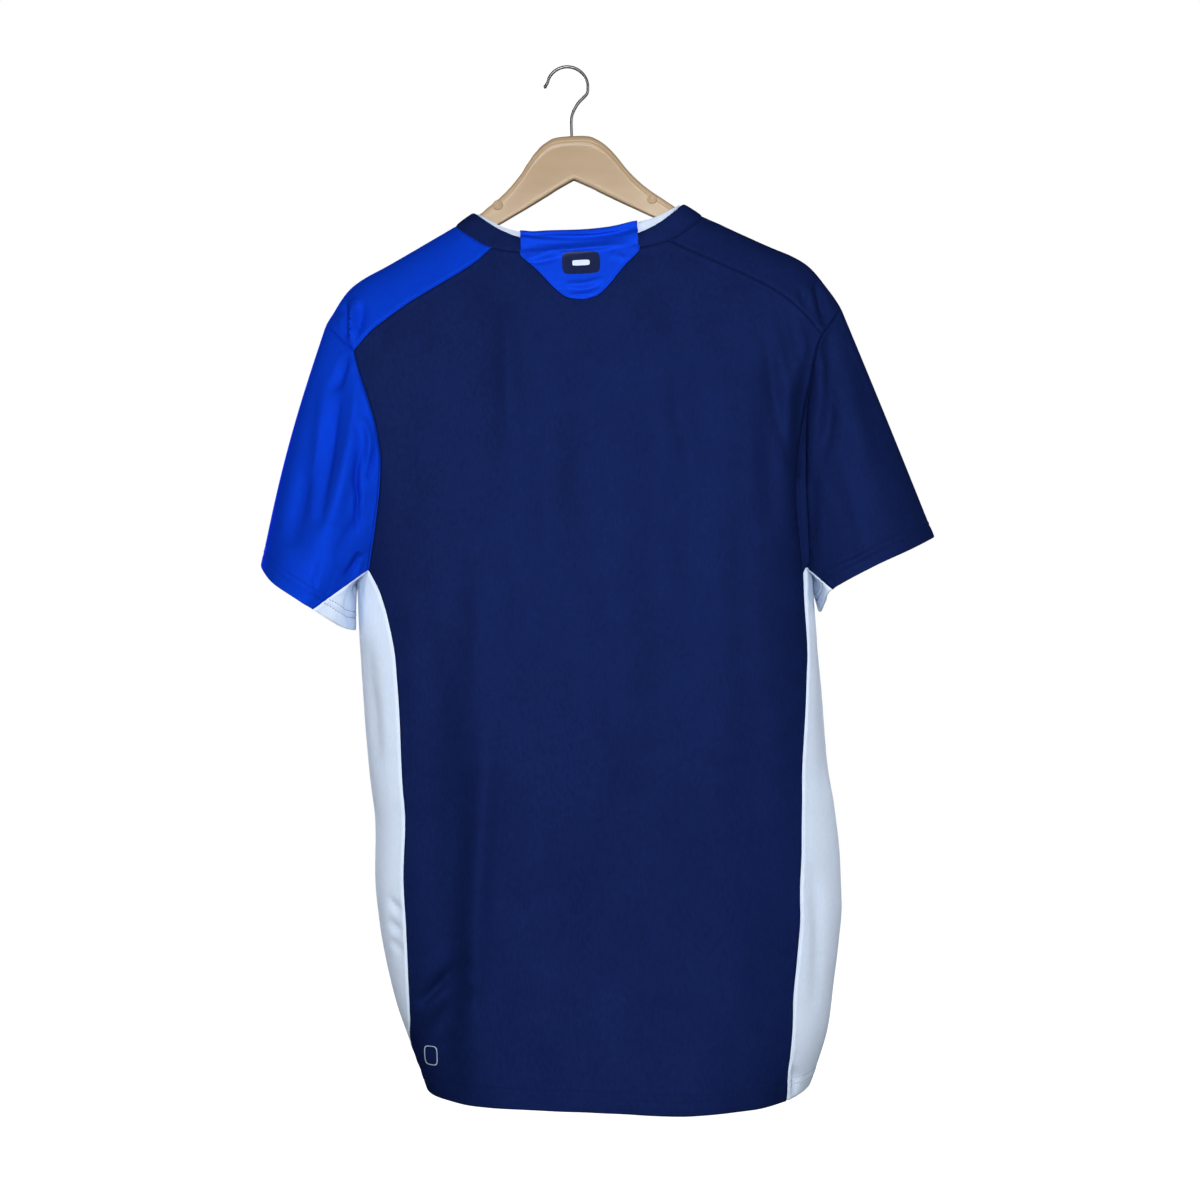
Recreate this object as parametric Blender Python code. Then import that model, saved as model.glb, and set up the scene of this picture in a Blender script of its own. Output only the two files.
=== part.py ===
"""Workout t-shirt on a clothes hanger, every cut piece a separate closed wall of cloth.

Frame: +Z up, origin at the inner top of the hanger's hook, where a rail carries it.
The wearer's back faces -Y, the chest +Y. Tables are in millimetres, the mesh in metres.
"""
from collections import namedtuple
from functools import lru_cache
import math

import bmesh
import bpy
from mathutils import Vector
from mathutils.bvhtree import BVHTree
import numpy as np

MM = 0.001
BACK, FRONT = -1, 1

# Cloth
WALL = 1.5                  # wall of every cloth piece
SEAM_GAP = 0.3              # between two pieces along a seam
LAY_GAP = 0.4               # between two layers that lie on each other
FACING_GAP = 0.6            # between the collar band and its facing
TRIM_WALL = 1.0             # collar facing and neck tab
CREASE_COSINE = 0.5         # pieces that meet more sharply than this keep their own wall direction

# Hanger, in its own upright frame: h runs outwards from its middle
HUB_X, HUB_Z = 1.5, -60.0   # middle of the hub's top
HANGER_TILT = math.radians(0.55)
ARM_HALF_THICK = 5.5
HUB_HALF_THICK = 6.5
ARM_ROUNDING = 0.8          # 1 is an ellipse, less is squarer
HUB_LENGTH = 60.0           # the hub thins to an arm over this length
TIP_THINNING = (0.8, 0.5)   # of the two last sections of an arm

# Hook: a straight stem, an S-bend and a round of this radius about its centre
Wire = namedtuple("Wire", "x z")
WIRE_RADIUS = 1.5
BORE_DEPTH = 16.0
STEM_CLEARANCE = 0.6        # between the stem's end and the bore's floor
HOOK_BEND = [Wire(HUB_X, -57.0), Wire(1.8, -46.0), Wire(3.6, -38.8), Wire(8.6, -30.8)]
HOOK_CENTRE = Wire(-0.5, -16.5)
HOOK_RADIUS = 18.0
HOOK_ARC_DEGREES = (-22, 176)
HOOK_TIP = Wire(-20.6, -17.4)

Rest = namedtuple("Rest", "h z")
SHOULDER_LINE = [           # top fold of the cloth over the arms, then down to the sleeve cap
    Rest(60, -107.0), Rest(100, -130.5), Rest(128, -145.1), Rest(150, -156.5), Rest(170, -166.6),
    Rest(190, -176.3), Rest(200, -183.0), Rest(205, -187.8), Rest(210, -194.0),
    Rest(217, -204.0), Rest(224, -214.5), Rest(229, -223.5)]

Arm = namedtuple("Arm", "h top bottom")
HANGER_OUTLINE = [
    Arm(0, -59.8, -98.4), Arm(9, -60.0, -102.9), Arm(16, -61.0, -106.5), Arm(22, -63.8, -110.0),
    Arm(28, -68.0, -113.3), Arm(34, -74.0, -116.6), Arm(40, -81.5, -119.8), Arm(46, -90.0, -123.0),
    Arm(53, -98.3, -126.6), Arm(60, -105.4, -130.3), Arm(68, -112.2, -134.4), Arm(76, -118.0, -138.6),
    Arm(84, -124.0, -142.8), Arm(95, -131.6, -148.6), Arm(107, -139.0, -154.8), Arm(120, -145.4, -161.2),
    Arm(135, -152.2, -168.4), Arm(150, -159.5, -175.2), Arm(165, -167.0, -182.2), Arm(178, -173.9, -188.0),
    Arm(187, -179.6, -191.4), Arm(193, -184.0, -192.8), Arm(197, -187.6, -192.4)]

# Sections of the body: side lines left and right, and how far back and front stand off
Section = namedtuple("Section", "z left right back front")
SECTIONS = [
    Section(-130, -240, 246, 14, 16), Section(-160, -240, 246, 27, 31), Section(-200, -238, 244, 41, 45),
    Section(-250, -226, 236, 56, 60), Section(-300, -212, 214, 67, 72), Section(-350, -205, 203, 75, 80),
    Section(-440, -203, 196.5, 84, 89), Section(-495, -203, 197.7, 87, 92), Section(-560, -201.7, 201, 89, 94),
    Section(-618, -198.6, 203.1, 90, 95), Section(-654, -195.8, 207, 90, 95), Section(-706, -197.9, 210.4, 90, 95),
    Section(-742, -195.8, 210.2, 91, 96), Section(-777, -191.1, 206, 93, 98), Section(-813, -183.8, 200, 96, 101),
    Section(-848, -173, 194, 100, 104), Section(-884, -161.3, 181.5, 104, 108), Section(-912, -152, 169, 106, 110)]
SQUARENESS = 2.4            # 2 is an ellipse, more is flatter on the back and front
SECTION_STEPS = 960         # how finely a section is traced
DRAPE_SLOPE = 0.30          # how fast the cloth leaves the arm below the shoulder line
RIDGE_RADIUS = 8.0          # round of the cloth over the arm
BLEND_POWER = 4.0           # how tightly the two surfaces round into each other
FOLDS_START, FOLDS_FULL = 30.0, 90.0    # drop below the shoulder line where folds begin and are full

Hem = namedtuple("Hem", "x z")
HEM_MIDDLE = Hem(0, -899)
BODY_HEM = [Hem(-160, -889), Hem(-125, -892.5), Hem(-60, -895.5), HEM_MIDDLE, Hem(67, -905),
            Hem(120, -905.5), Hem(150, -903), Hem(175, -898)]

# Side seams: how far each lies from the side line along the cloth, towards the back or the front
SideSeam = namedtuple("SideSeam", "z left_back left_front right_back right_front")
SIDE_SEAMS = [
    SideSeam(-435, 41, 33, 29, 45), SideSeam(-452, 53, 31, 31, 50), SideSeam(-478, 63, 30, 35, 58),
    SideSeam(-513, 70, 32, 38, 62), SideSeam(-550, 71, 37, 47, 60), SideSeam(-616, 68, 44, 60, 51),
    SideSeam(-685, 64, 50, 73, 39), SideSeam(-736, 62, 54, 79, 33), SideSeam(-788, 55, 62, 80, 32),
    SideSeam(-822, 45, 70, 81, 31), SideSeam(-848, 22, 79, 81, 31), SideSeam(-872, 6, 88, 79, 33),
    SideSeam(-910, -10, 98, 66, 44)]
LEFT_JUNCTION_Z, RIGHT_JUNCTION_Z = -435.0, -449.0    # where armhole and side seam meet
UNDERARM_DIP = 7.0          # of a side panel's top edge

Armhole = namedtuple("Armhole", "z x")
ARMHOLE_LEFT = [Armhole(-243, -196.0), Armhole(-262, -191.5), Armhole(-288, -184.0), Armhole(-314, -177.8),
                Armhole(-340, -175.3), Armhole(-370, -177.8), Armhole(-400, -183.0), Armhole(-435, -190.2)]
ARMHOLE_RIGHT = [Armhole(-246, 213.0), Armhole(-262, 206.0), Armhole(-282, 201.4), Armhole(-316, 194.4),
                 Armhole(-347, 191.4), Armhole(-390, 189.6), Armhole(-420, 189.8), Armhole(-449, 190.3)]
FRONT_SCOOP = 7.0           # the front armhole is cut this much further in

YokeSeam = namedtuple("YokeSeam", "left_x left_z right_x right_z")
YOKE_BACK_SEAM = [          # from the collar outwards
    YokeSeam(-72, -157.2, 82, -157.2), YokeSeam(-90.4, -171.6, 102, -167.2),
    YokeSeam(-117, -186.7, 124, -178), YokeSeam(-143.7, -201.2, 155, -193.5),
    YokeSeam(-166.1, -215.9, 179.3, -208.7), YokeSeam(-181, -227.0, 199.7, -228.2),
    YokeSeam(-196, -243, 213, -246)]
YOKE_FRONT_SEAM = [
    YokeSeam(-93, -157, 103, -157), YokeSeam(-118, -176, 128, -176), YokeSeam(-150, -196, 160, -197),
    YokeSeam(-178, -219, 191, -220), YokeSeam(-199, -243, 215, -246)]

# Collar: its seam and top edge at half width h from the neck's middle, and how far the facing stands up
Neck = namedtuple("Neck", "seam_h seam_z top_h top_z rise")
NECK_X = 5.0
NECK = [
    Neck(0, -168.5, 0, -155.0, 8.5), Neck(46, -163.6, 44, -151.6, 7.6),
    Neck(77, -157.2, 68, -142.6, 4.0), Neck(108.7, -135.4, 92.5, -124.0, 1.6),
    Neck(98, -157.0, 84, -145.0, 1.6), Neck(60, -201.0, 53, -187.5, 1.6),
    Neck(0, -224.0, 0, -210.0, 1.6)]
NECK_TOP_DEPTH = {BACK: 22.0, FRONT: 37.0}
NECK_TOP_SQUARENESS = 3.0   # the top edge turns sharply over the hanger's arms
BACK_MIDDLE, BACK_YOKE, NECK_POINT, FRONT_YOKE, FRONT_MIDDLE = 0, 2, 3, 4, 6
FACING_START = 0.42         # share of the collar's height where the facing begins

Tab = namedtuple("Tab", "z half")
TAB_X = 4.5
TAB_OUTLINE = [Tab(-208.0, 4.5), Tab(-206.6, 10.5), Tab(-203.8, 15.5), Tab(-199.0, 21.0), Tab(-192.0, 27.5),
               Tab(-184.0, 34.0), Tab(-176.5, 41.0), Tab(-170.0, 48.0), Tab(-166.0, 51.5),
               Tab(-161.0, 52.3)]
TAB_INNER_LEG = 15.0        # how far the tab hangs down inside the neck
TAB_FOLD_TRIM = 1.2         # the tab is narrower by this on each side at its fold
TAB_EASE = 0.2              # more air under the tab where it bends

# Sleeve hems, ten points round the opening, and how far the top fold bows outwards
Cuff = namedtuple("Cuff", "x y z")
CUFF_LEFT = [Cuff(-287.0, 0, -426.0), Cuff(-273.4, -42, -441.1), Cuff(-249.4, -60, -457.6),
             Cuff(-236.6, -57, -466.4), Cuff(-216.5, -36, -481.5), Cuff(-206.8, 0, -486.0),
             Cuff(-217.0, 37, -481.5), Cuff(-237.0, 57, -467.0), Cuff(-250.0, 60, -458.0), Cuff(-273.5, 42, -441.0)]
CUFF_RIGHT = [Cuff(305.4, 0, -425.5), Cuff(280.9, -36, -435.7), Cuff(246.0, -53, -449.2),
              Cuff(209.5, -45, -467.5), Cuff(204.0, -28, -478.0), Cuff(201.8, 0, -487.0),
              Cuff(204.5, 34, -479.0), Cuff(211.0, 58, -468.0), Cuff(246.0, 61, -450.0), Cuff(281.0, 40, -436.0)]
CUFF_CORNER = 3             # row where the sleeve's back meets the gusset
TOP_FOLD_BOW = {"left": 4.5, "right": 0.5}
TOP_FOLD_SPREAD = 0.16      # share of the way round that the bow takes up

# Largest folds. Ridges are positive, troughs negative; each runs from (x0, z0) to (x1, z1)
Fold = namedtuple("Fold", "face x0 z0 x1 z1 width height")
BODY_FOLDS = [
    Fold(BACK, -75, -330, -100, -880, 15, 5.5), Fold(BACK, -128, -470, -118, -760, 17, -5.5),
    Fold(BACK, -112, -790, -168, -850, 9, -7.0), Fold(BACK, -38, -250, -30, -640, 22, -3.0),
    Fold(BACK, 12, -260, 28, -700, 24, 3.0), Fold(BACK, 70, -300, 62, -800, 22, -2.6),
    Fold(BACK, 128, -280, 118, -620, 20, 3.2), Fold(BACK, 165, -265, 158, -420, 11, -4.5),
    Fold(BACK, 140, -620, 132, -890, 18, -3.0), Fold(FRONT, 105, -330, 96, -890, 18, 6.0),
    Fold(FRONT, 48, -300, 52, -880, 20, -5.5), Fold(FRONT, -12, -330, -4, -860, 24, 4.5),
    Fold(FRONT, -68, -280, -58, -800, 20, -4.5), Fold(FRONT, -122, -330, -128, -890, 20, 5.5),
    Fold(FRONT, -160, -480, -150, -800, 16, -4.0)]

SleeveFold = namedtuple("SleeveFold", "around0 around1 start end width height")
SLEEVE_FOLDS = {            # around: 0 at the gusset's back seam, 1 at its front seam; start, end along
    "left": [SleeveFold(0.36, 0.30, 0.05, 0.85, 0.045, -6.5), SleeveFold(0.25, 0.20, 0.15, 0.80, 0.045, 4.5),
             SleeveFold(0.10, 0.12, 0.05, 0.60, 0.035, -4.5), SleeveFold(0.66, 0.72, 0.10, 0.85, 0.05, -6.0)],
    "right": [SleeveFold(0.30, 0.22, 0.05, 0.70, 0.05, 3.0), SleeveFold(0.12, 0.10, 0.05, 0.75, 0.04, -4.5),
              SleeveFold(0.70, 0.76, 0.10, 0.85, 0.05, -6.0), SleeveFold(0.60, 0.62, 0.10, 0.75, 0.045, 4.0)]}

# How finely each piece is divided
YOKE_LONG, YOKE_HALF, NECK_BACK, NECK_FRONT = 8, 4, 8, 10
BODY_ROWS, UPPER_ROWS, SIDE_COLUMNS, SLEEVE_ROWS = 15, 8, 7, 9
TAB_COLUMNS, FOLD_STEPS = 10, 4
HANGER_SIDES, HOOK_STEPS = 12, 12

# Colours (linear), roughness and metallic
FINISHES = {"navy_knit": ((0.008, 0.014, 0.090), 0.85, 0.0), "royal_knit": ((0.010, 0.052, 0.62), 0.80, 0.0),
            "pale_knit": ((0.60, 0.66, 0.80), 0.85, 0.0), "hanger_plastic": ((0.56, 0.42, 0.26), 0.45, 0.0),
            "hook_steel": ((0.55, 0.55, 0.56), 0.30, 1.0)}


# ---------------------------------------------------------------- curves

def smooth(rows, key, value, level_ends=False):
    """A function of key that runs through value without overshooting between rows."""
    points = sorted((getattr(row, key), getattr(row, value)) for row in rows)
    x, y = np.array(points, float).T
    step = np.diff(x)
    slope = np.diff(y) / step
    tangent = np.zeros_like(y)
    if not level_ends:
        tangent[0], tangent[-1] = slope[0], slope[-1]
    before, after = slope[:-1], slope[1:]
    turning = before * after <= 0
    weight_a, weight_b = 2 * step[1:] + step[:-1], step[1:] + 2 * step[:-1]
    safe_before, safe_after = np.where(turning, 1, before), np.where(turning, 1, after)
    mean = (weight_a + weight_b) / (weight_a / safe_before + weight_b / safe_after)
    tangent[1:-1] = np.where(turning, 0, mean)

    def at(where):
        where = np.clip(where, x[0], x[-1])
        i = np.clip(np.searchsorted(x, where) - 1, 0, len(step) - 1)
        t = (where - x[i]) / step[i]
        a, b = y[i], y[i + 1]
        return (a * (1 + 2 * t) * (1 - t) ** 2 + b * t * t * (3 - 2 * t)
                + step[i] * t * (1 - t) * ((1 - t) * tangent[i] - t * tangent[i + 1]))
    return at


def closed_curve(points, where):
    """Points of a closed Catmull-Rom curve; where counts control points, and may be fractional."""
    points = np.array(points, float)
    count = len(points)
    first = np.floor(where).astype(int)
    t = (where - first)[:, None]
    a, b, c, d = (points[(first + k) % count] for k in (-1, 0, 1, 2))
    return 0.5 * (2 * b + (c - a) * t + (2 * a - 5 * b + 4 * c - d) * t ** 2
                  + (3 * b - 3 * c + d - a) * t ** 3)


def polyline(points, shares):
    """Points at given shares of a polyline's length."""
    points = np.array(points, float)
    run = np.r_[0, np.cumsum(np.linalg.norm(np.diff(points, axis=0), axis=1))]
    return np.stack([np.interp(np.array(shares) * run[-1], run, column) for column in points.T], axis=1)


def coons(bottom, top, start, end):
    """Grid between four edges: bottom and top run across, start and end run upwards."""
    across = np.linspace(0, 1, len(bottom))[None, :, None]
    up = np.linspace(0, 1, len(start))[:, None, None]
    ruled = (1 - up) * bottom[None] + up * top[None] + (1 - across) * start[:, None] + across * end[:, None]
    corners = ((1 - up) * ((1 - across) * bottom[0] + across * bottom[-1])
               + up * ((1 - across) * top[0] + across * top[-1]))
    return ruled - corners


# ---------------------------------------------------------------- hanger and shoulder line

def from_hanger(side, h, z):
    """World x and z of a point given in the hanger's own frame; side is -1 left, +1 right."""
    cos, sin = math.cos(HANGER_TILT), math.sin(HANGER_TILT)
    out, rise = side * np.asarray(h, float), np.asarray(z, float) - HUB_Z
    return HUB_X + out * cos - rise * sin, HUB_Z + rise * cos + out * sin


def shoulder_rows():
    """The shoulder line from left cap to right cap as world rows."""
    rows = []
    for side in (-1, 1):
        for rest in SHOULDER_LINE:
            x, z = from_hanger(side, rest.h, rest.z)
            rows.append(Hem(float(x), float(z)))
    return rows


ridge_height = smooth(shoulder_rows(), "x", "z")
LEFT_CAP, RIGHT_CAP = (from_hanger(side, SHOULDER_LINE[-1].h, SHOULDER_LINE[-1].z) for side in (-1, 1))


def ridge_steepness(x):
    """Cosine of the shoulder line's slope at x, averaged over a short stretch."""
    reach = 6.0
    return np.cos(np.arctan((ridge_height(x + reach) - ridge_height(x - reach)) / (2 * reach)))


# ---------------------------------------------------------------- body surface

side_left, side_right = smooth(SECTIONS, "z", "left"), smooth(SECTIONS, "z", "right")
stand_off = {BACK: smooth(SECTIONS, "z", "back"), FRONT: smooth(SECTIONS, "z", "front")}
hem_height = smooth(BODY_HEM, "x", "z")


def fold_height(face, x, z):
    """Outward height of all folds of one face at x, z."""
    total = np.zeros(np.broadcast(x, z).shape)
    for fold in BODY_FOLDS:
        if fold.face != face:
            continue
        along_x, along_z = fold.x1 - fold.x0, fold.z1 - fold.z0
        length = math.hypot(along_x, along_z)
        share = ((x - fold.x0) * along_x + (z - fold.z0) * along_z) / length ** 2
        away = ((x - fold.x0) * along_z - (z - fold.z0) * along_x) / length
        fade = np.sin(np.pi * np.clip(share, 0, 1)) ** 0.7
        total = total + fold.height * fade * np.exp(-(away / fold.width) ** 2)
    return total


def depth(face, x, z):
    """How far the back or front cloth stands off the middle plane at x, z."""
    left, right = side_left(z), side_right(z)
    across = np.clip(np.abs(x - (left + right) / 2) / ((right - left) / 2), 0, 1)
    rounding = (1 - across ** SQUARENESS) ** (1 / SQUARENESS)
    full = stand_off[face](z) * rounding
    drop = np.maximum(ridge_height(x) - z, 0) * ridge_steepness(x)
    near = np.sqrt((DRAPE_SLOPE * drop) ** 2 + 2 * RIDGE_RADIUS * drop)
    tiny = 1e-9
    blended = full * near / ((full + tiny) ** BLEND_POWER + (near + tiny) ** BLEND_POWER) ** (1 / BLEND_POWER)
    share = np.clip((drop - FOLDS_START) / (FOLDS_FULL - FOLDS_START), 0, 1) * rounding
    return blended + share * fold_height(face, x, z)


def on_sheet(face, flat):
    """Points of the back or front sheet over flat x, z points."""
    flat = np.asarray(flat, float)
    x, z = flat[..., 0], flat[..., 1]
    return np.stack([x, face * depth(face, x, z), z], axis=-1)


@lru_cache(maxsize=None)
def section(z):
    """Closed section at height z, front middle -> left -> back -> right -> front middle."""
    left, right = float(side_left(z)), float(side_right(z))
    angle = np.linspace(0, 2 * math.pi, SECTION_STEPS + 1)
    bulge = np.sign(np.sin(angle)) * np.abs(np.sin(angle)) ** (2 / SQUARENESS)
    x = (left + right) / 2 - (right - left) / 2 * bulge
    back = (angle > math.pi / 2) & (angle < 3 * math.pi / 2)
    y = np.where(back, -depth(BACK, x, z), depth(FRONT, x, z))
    run = np.r_[0, np.cumsum(np.hypot(np.diff(x), np.diff(y)))]
    quarter = SECTION_STEPS // 4
    return x, y, run, run[quarter], run[3 * quarter]


def on_section(z, distance):
    """Point of the section at a distance along the cloth from its start."""
    x, y, run, _, _ = section(z)
    distance = distance % run[-1]
    return np.array([np.interp(distance, run, x), np.interp(distance, run, y), z])


seam_reach = {field: smooth(SIDE_SEAMS, "z", field) for field in SideSeam._fields[1:]}


def seam_distances(z):
    """Distances round the section: left front, left back, right back, right front, left front again."""
    _, _, run, left_line, right_line = section(z)
    reach = {field: float(at(z)) for field, at in seam_reach.items()}
    left_front = left_line - reach["left_front"]
    return (left_front, left_line + reach["left_back"], right_line - reach["right_back"],
            right_line + reach["right_front"], left_front + run[-1])


PANELS = {"side_panel_left": 0, "back_panel": 1, "side_panel_right": 2, "front_panel": 3}


def panel_grid(name, columns, rows):
    """Grid of one body panel from the hem (row 0) up to the underarm level (last row)."""
    span = PANELS[name]
    left, right, dip = LEFT_JUNCTION_Z, RIGHT_JUNCTION_Z, UNDERARM_DIP
    start_z, end_z, dip = {0: (left, left, dip), 1: (left, right, 0), 2: (right, right, dip),
                           3: (right, left, 0)}[span]
    grid = np.zeros((rows + 1, columns + 1, 3))
    low = seam_distances(HEM_MIDDLE.z)
    for i, share in enumerate(np.linspace(0, 1, columns + 1)):
        top_z = start_z + (end_z - start_z) * share - dip * math.sin(math.pi * share)
        hem_x = on_section(HEM_MIDDLE.z, low[span] * (1 - share) + low[span + 1] * share)[0]
        hem_z = float(hem_height(hem_x))
        for j, rise in enumerate(np.linspace(0, 1, rows + 1)):
            z = round(hem_z + (top_z - hem_z) * rise, 4)
            ends = seam_distances(z)
            grid[j, i] = on_section(z, ends[span] * (1 - share) + ends[span + 1] * share)
    return grid


# ---------------------------------------------------------------- neck, yokes and armholes

def neck_edge(side, first, last, shares, column):
    """Points between two rows of NECK on one side; column is "seam" or "top"."""
    rows = np.arange(len(NECK), dtype=float)
    where = first + (last - first) * np.asarray(shares, float)
    values = {}
    for field in Neck._fields:
        lookup = [namedtuple("At", "row value")(row, getattr(neck, field)) for row, neck in zip(rows, NECK)]
        values[field] = smooth(lookup, "row", "value", level_ends=not field.endswith("_h"))(where)
    x = NECK_X + side * values[column + "_h"]
    if column == "top":
        face = BACK if max(first, last) <= NECK_POINT else FRONT
        turn = np.clip(values["top_h"] / NECK[NECK_POINT].top_h, 0, 1) ** NECK_TOP_SQUARENESS
        y = face * NECK_TOP_DEPTH[face] * (1 - turn) ** (1 / NECK_TOP_SQUARENESS)
        return np.stack([x, y, values["top_z"]], axis=-1), values["rise"]
    return np.stack([x, values["seam_z"]], axis=-1)


def toward_ridge(count):
    """Shares that crowd towards a ridge, so that points are even over its round top."""
    return 1 - (1 - np.linspace(0, 1, count + 1)) ** 2


def seam_points(side, table, count):
    """Flat points of a yoke seam from the collar out to the armhole."""
    name = "left" if side < 0 else "right"
    points = [(getattr(row, name + "_x"), getattr(row, name + "_z")) for row in table]
    return polyline(points, np.linspace(0, 1, count + 1))


def neck_point(side):
    x = NECK_X + side * NECK[NECK_POINT].seam_h
    return np.array([x, float(ridge_height(x))])


def yoke_half(side, face):
    """Flat grid of half a yoke, seam (row 0) to shoulder line (last row), collar to armhole."""
    seam = seam_points(side, YOKE_BACK_SEAM if face == BACK else YOKE_FRONT_SEAM, YOKE_LONG)
    cap = np.array(LEFT_CAP if side < 0 else RIGHT_CAP)
    fine_x = np.linspace(neck_point(side)[0], cap[0], 200)
    ridge = polyline(np.stack([fine_x, ridge_height(fine_x)], axis=-1), np.linspace(0, 1, YOKE_LONG + 1))
    up = toward_ridge(YOKE_HALF)
    row = BACK_YOKE if face == BACK else FRONT_YOKE
    at_neck = neck_edge(side, row, NECK_POINT, up, "seam")
    at_neck[0], at_neck[-1] = seam[0], ridge[0]
    at_cap = seam[-1] + (ridge[-1] - seam[-1]) * up[:, None]
    across = np.linspace(0, 1, YOKE_LONG + 1)[None, :, None]
    rise = up[:, None, None]
    ruled = ((1 - rise) * seam[None] + rise * ridge[None] + (1 - across) * at_neck[:, None]
             + across * at_cap[:, None])
    corners = ((1 - rise) * ((1 - across) * seam[0] + across * seam[-1])
               + rise * ((1 - across) * ridge[0] + across * ridge[-1]))
    return on_sheet(face, ruled - corners)


def yoke_grid(side):
    """Yoke from its back seam over the shoulder to its front seam; facing outwards."""
    back, front = yoke_half(side, BACK), yoke_half(side, FRONT)
    grid = np.concatenate([back, front[-2::-1]])
    return grid if side > 0 else grid[:, ::-1]


def armhole_edge(side, face, low_x):
    """Flat points of an armhole seam from the underarm point at low_x up to the yoke."""
    if side < 0:
        low, table = LEFT_JUNCTION_Z, ARMHOLE_LEFT
    else:
        low, table = RIGHT_JUNCTION_Z, ARMHOLE_RIGHT
    share = np.linspace(0, 1, UPPER_ROWS + 1)
    z = low + (table[0].z - low) * share
    x = smooth(table, "z", "x")(z)
    x = x + (low_x - x[0]) * (1 - share) ** 3
    if face == FRONT:
        x = x - side * FRONT_SCOOP * np.sin(math.pi * share)
    return np.stack([x, z], axis=-1)


def upper_grid(face, low_row):
    """Grid of the back or front between the underarm row, the armholes, the yokes and the collar."""
    first, last = (-1, 1) if face == BACK else (1, -1)
    table, neck_row, middle, count = ((YOKE_BACK_SEAM, BACK_YOKE, BACK_MIDDLE, NECK_BACK) if face == BACK else
                                      (YOKE_FRONT_SEAM, FRONT_YOKE, FRONT_MIDDLE, NECK_FRONT))
    shares = np.linspace(0, 1, count // 2 + 1)
    down = neck_edge(first, neck_row, middle, shares, "seam")
    up = neck_edge(last, middle, neck_row, shares, "seam")
    out = seam_points(first, table, YOKE_LONG)[::-1]
    back_in = seam_points(last, table, YOKE_LONG)
    down[0], up[-1] = out[-1], back_in[0]
    top = np.concatenate([out, down[1:], up[1:], back_in[1:]])
    bottom = low_row[:, [0, 2]]
    start, end = armhole_edge(first, face, bottom[0, 0]), armhole_edge(last, face, bottom[-1, 0])
    start[0], end[0] = bottom[0], bottom[-1]
    start[-1], end[-1] = top[0], top[-1]
    grid = on_sheet(face, coons(bottom, top, start, end))
    grid[0] = low_row
    return grid


def collar_ring():
    """Seam and top edge of the collar round the neck, seen from above anticlockwise from the back left."""
    yoke_up = toward_ridge(YOKE_HALF)
    parts, tops, rises = [], [], []

    def add(side, first, last, shares, face, skip):
        flat = neck_edge(side, first, last, shares, "seam")
        top, rise = neck_edge(side, first, last, shares, "top")
        points = on_sheet(face, flat)
        if last == NECK_POINT or first == NECK_POINT:
            end = -1 if last == NECK_POINT else 0
            ridge = neck_point(side)
            points[end] = (ridge[0], 0, ridge[1])
        corner_face = {BACK: (BACK_YOKE, YOKE_BACK_SEAM), FRONT: (FRONT_YOKE, YOKE_FRONT_SEAM)}[face]
        for end, row in ((0, first), (-1, last)):
            if row == corner_face[0]:
                points[end] = on_sheet(face, seam_points(side, corner_face[1], YOKE_LONG)[0])
        parts.append(points[skip:])
        tops.append(top[skip:])
        rises.append(rise[skip:])

    even_back = np.linspace(0, 1, NECK_BACK // 2 + 1)
    even_front = np.linspace(0, 1, NECK_FRONT // 2 + 1)
    away = 1 - yoke_up[::-1]
    add(-1, BACK_YOKE, BACK_MIDDLE, even_back, BACK, 0)
    add(1, BACK_MIDDLE, BACK_YOKE, even_back, BACK, 1)
    add(1, BACK_YOKE, NECK_POINT, yoke_up, BACK, 1)
    add(1, NECK_POINT, FRONT_YOKE, away, FRONT, 1)
    add(1, FRONT_YOKE, FRONT_MIDDLE, even_front, FRONT, 1)
    add(-1, FRONT_MIDDLE, FRONT_YOKE, even_front, FRONT, 1)
    add(-1, FRONT_YOKE, NECK_POINT, yoke_up, FRONT, 1)
    add(-1, NECK_POINT, BACK_YOKE, away, BACK, 1)
    return np.concatenate(parts), np.concatenate(tops), np.concatenate(rises)


# ---------------------------------------------------------------- sleeves

def armhole_loop(side, grids):
    """Sleeve edge from the back underarm point over the cap to the front one, then back underneath."""
    back, front = grids["back_upper"], grids["front_upper"]
    yoke = grids["yoke_left" if side < 0 else "yoke_right"]
    panel = grids["side_panel_left" if side < 0 else "side_panel_right"][-1]
    if side < 0:
        back_edge, cap, front_edge, under = back[:, 0], yoke[:, 0], front[::-1, -1], panel
    else:
        back_edge, cap, front_edge, under = back[:, -1], yoke[:, -1], front[::-1, 0], panel[::-1]
    return np.concatenate([back_edge, cap[1:], front_edge[1:]]), under


def cuff_curve(side):
    """Cuff points for the sleeve and for the gusset, in step with the armhole loop."""
    table = CUFF_LEFT if side < 0 else CUFF_RIGHT
    count = len(table)
    front_corner = count - CUFF_CORNER
    half = UPPER_ROWS + YOKE_HALF
    sleeve = np.concatenate([np.linspace(CUFF_CORNER, 0, half + 1), -np.linspace(0, CUFF_CORNER, half + 1)[1:]])
    under = np.linspace(front_corner, CUFF_CORNER, SIDE_COLUMNS + 1)
    return closed_curve(table, sleeve), closed_curve(table, under)


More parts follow.
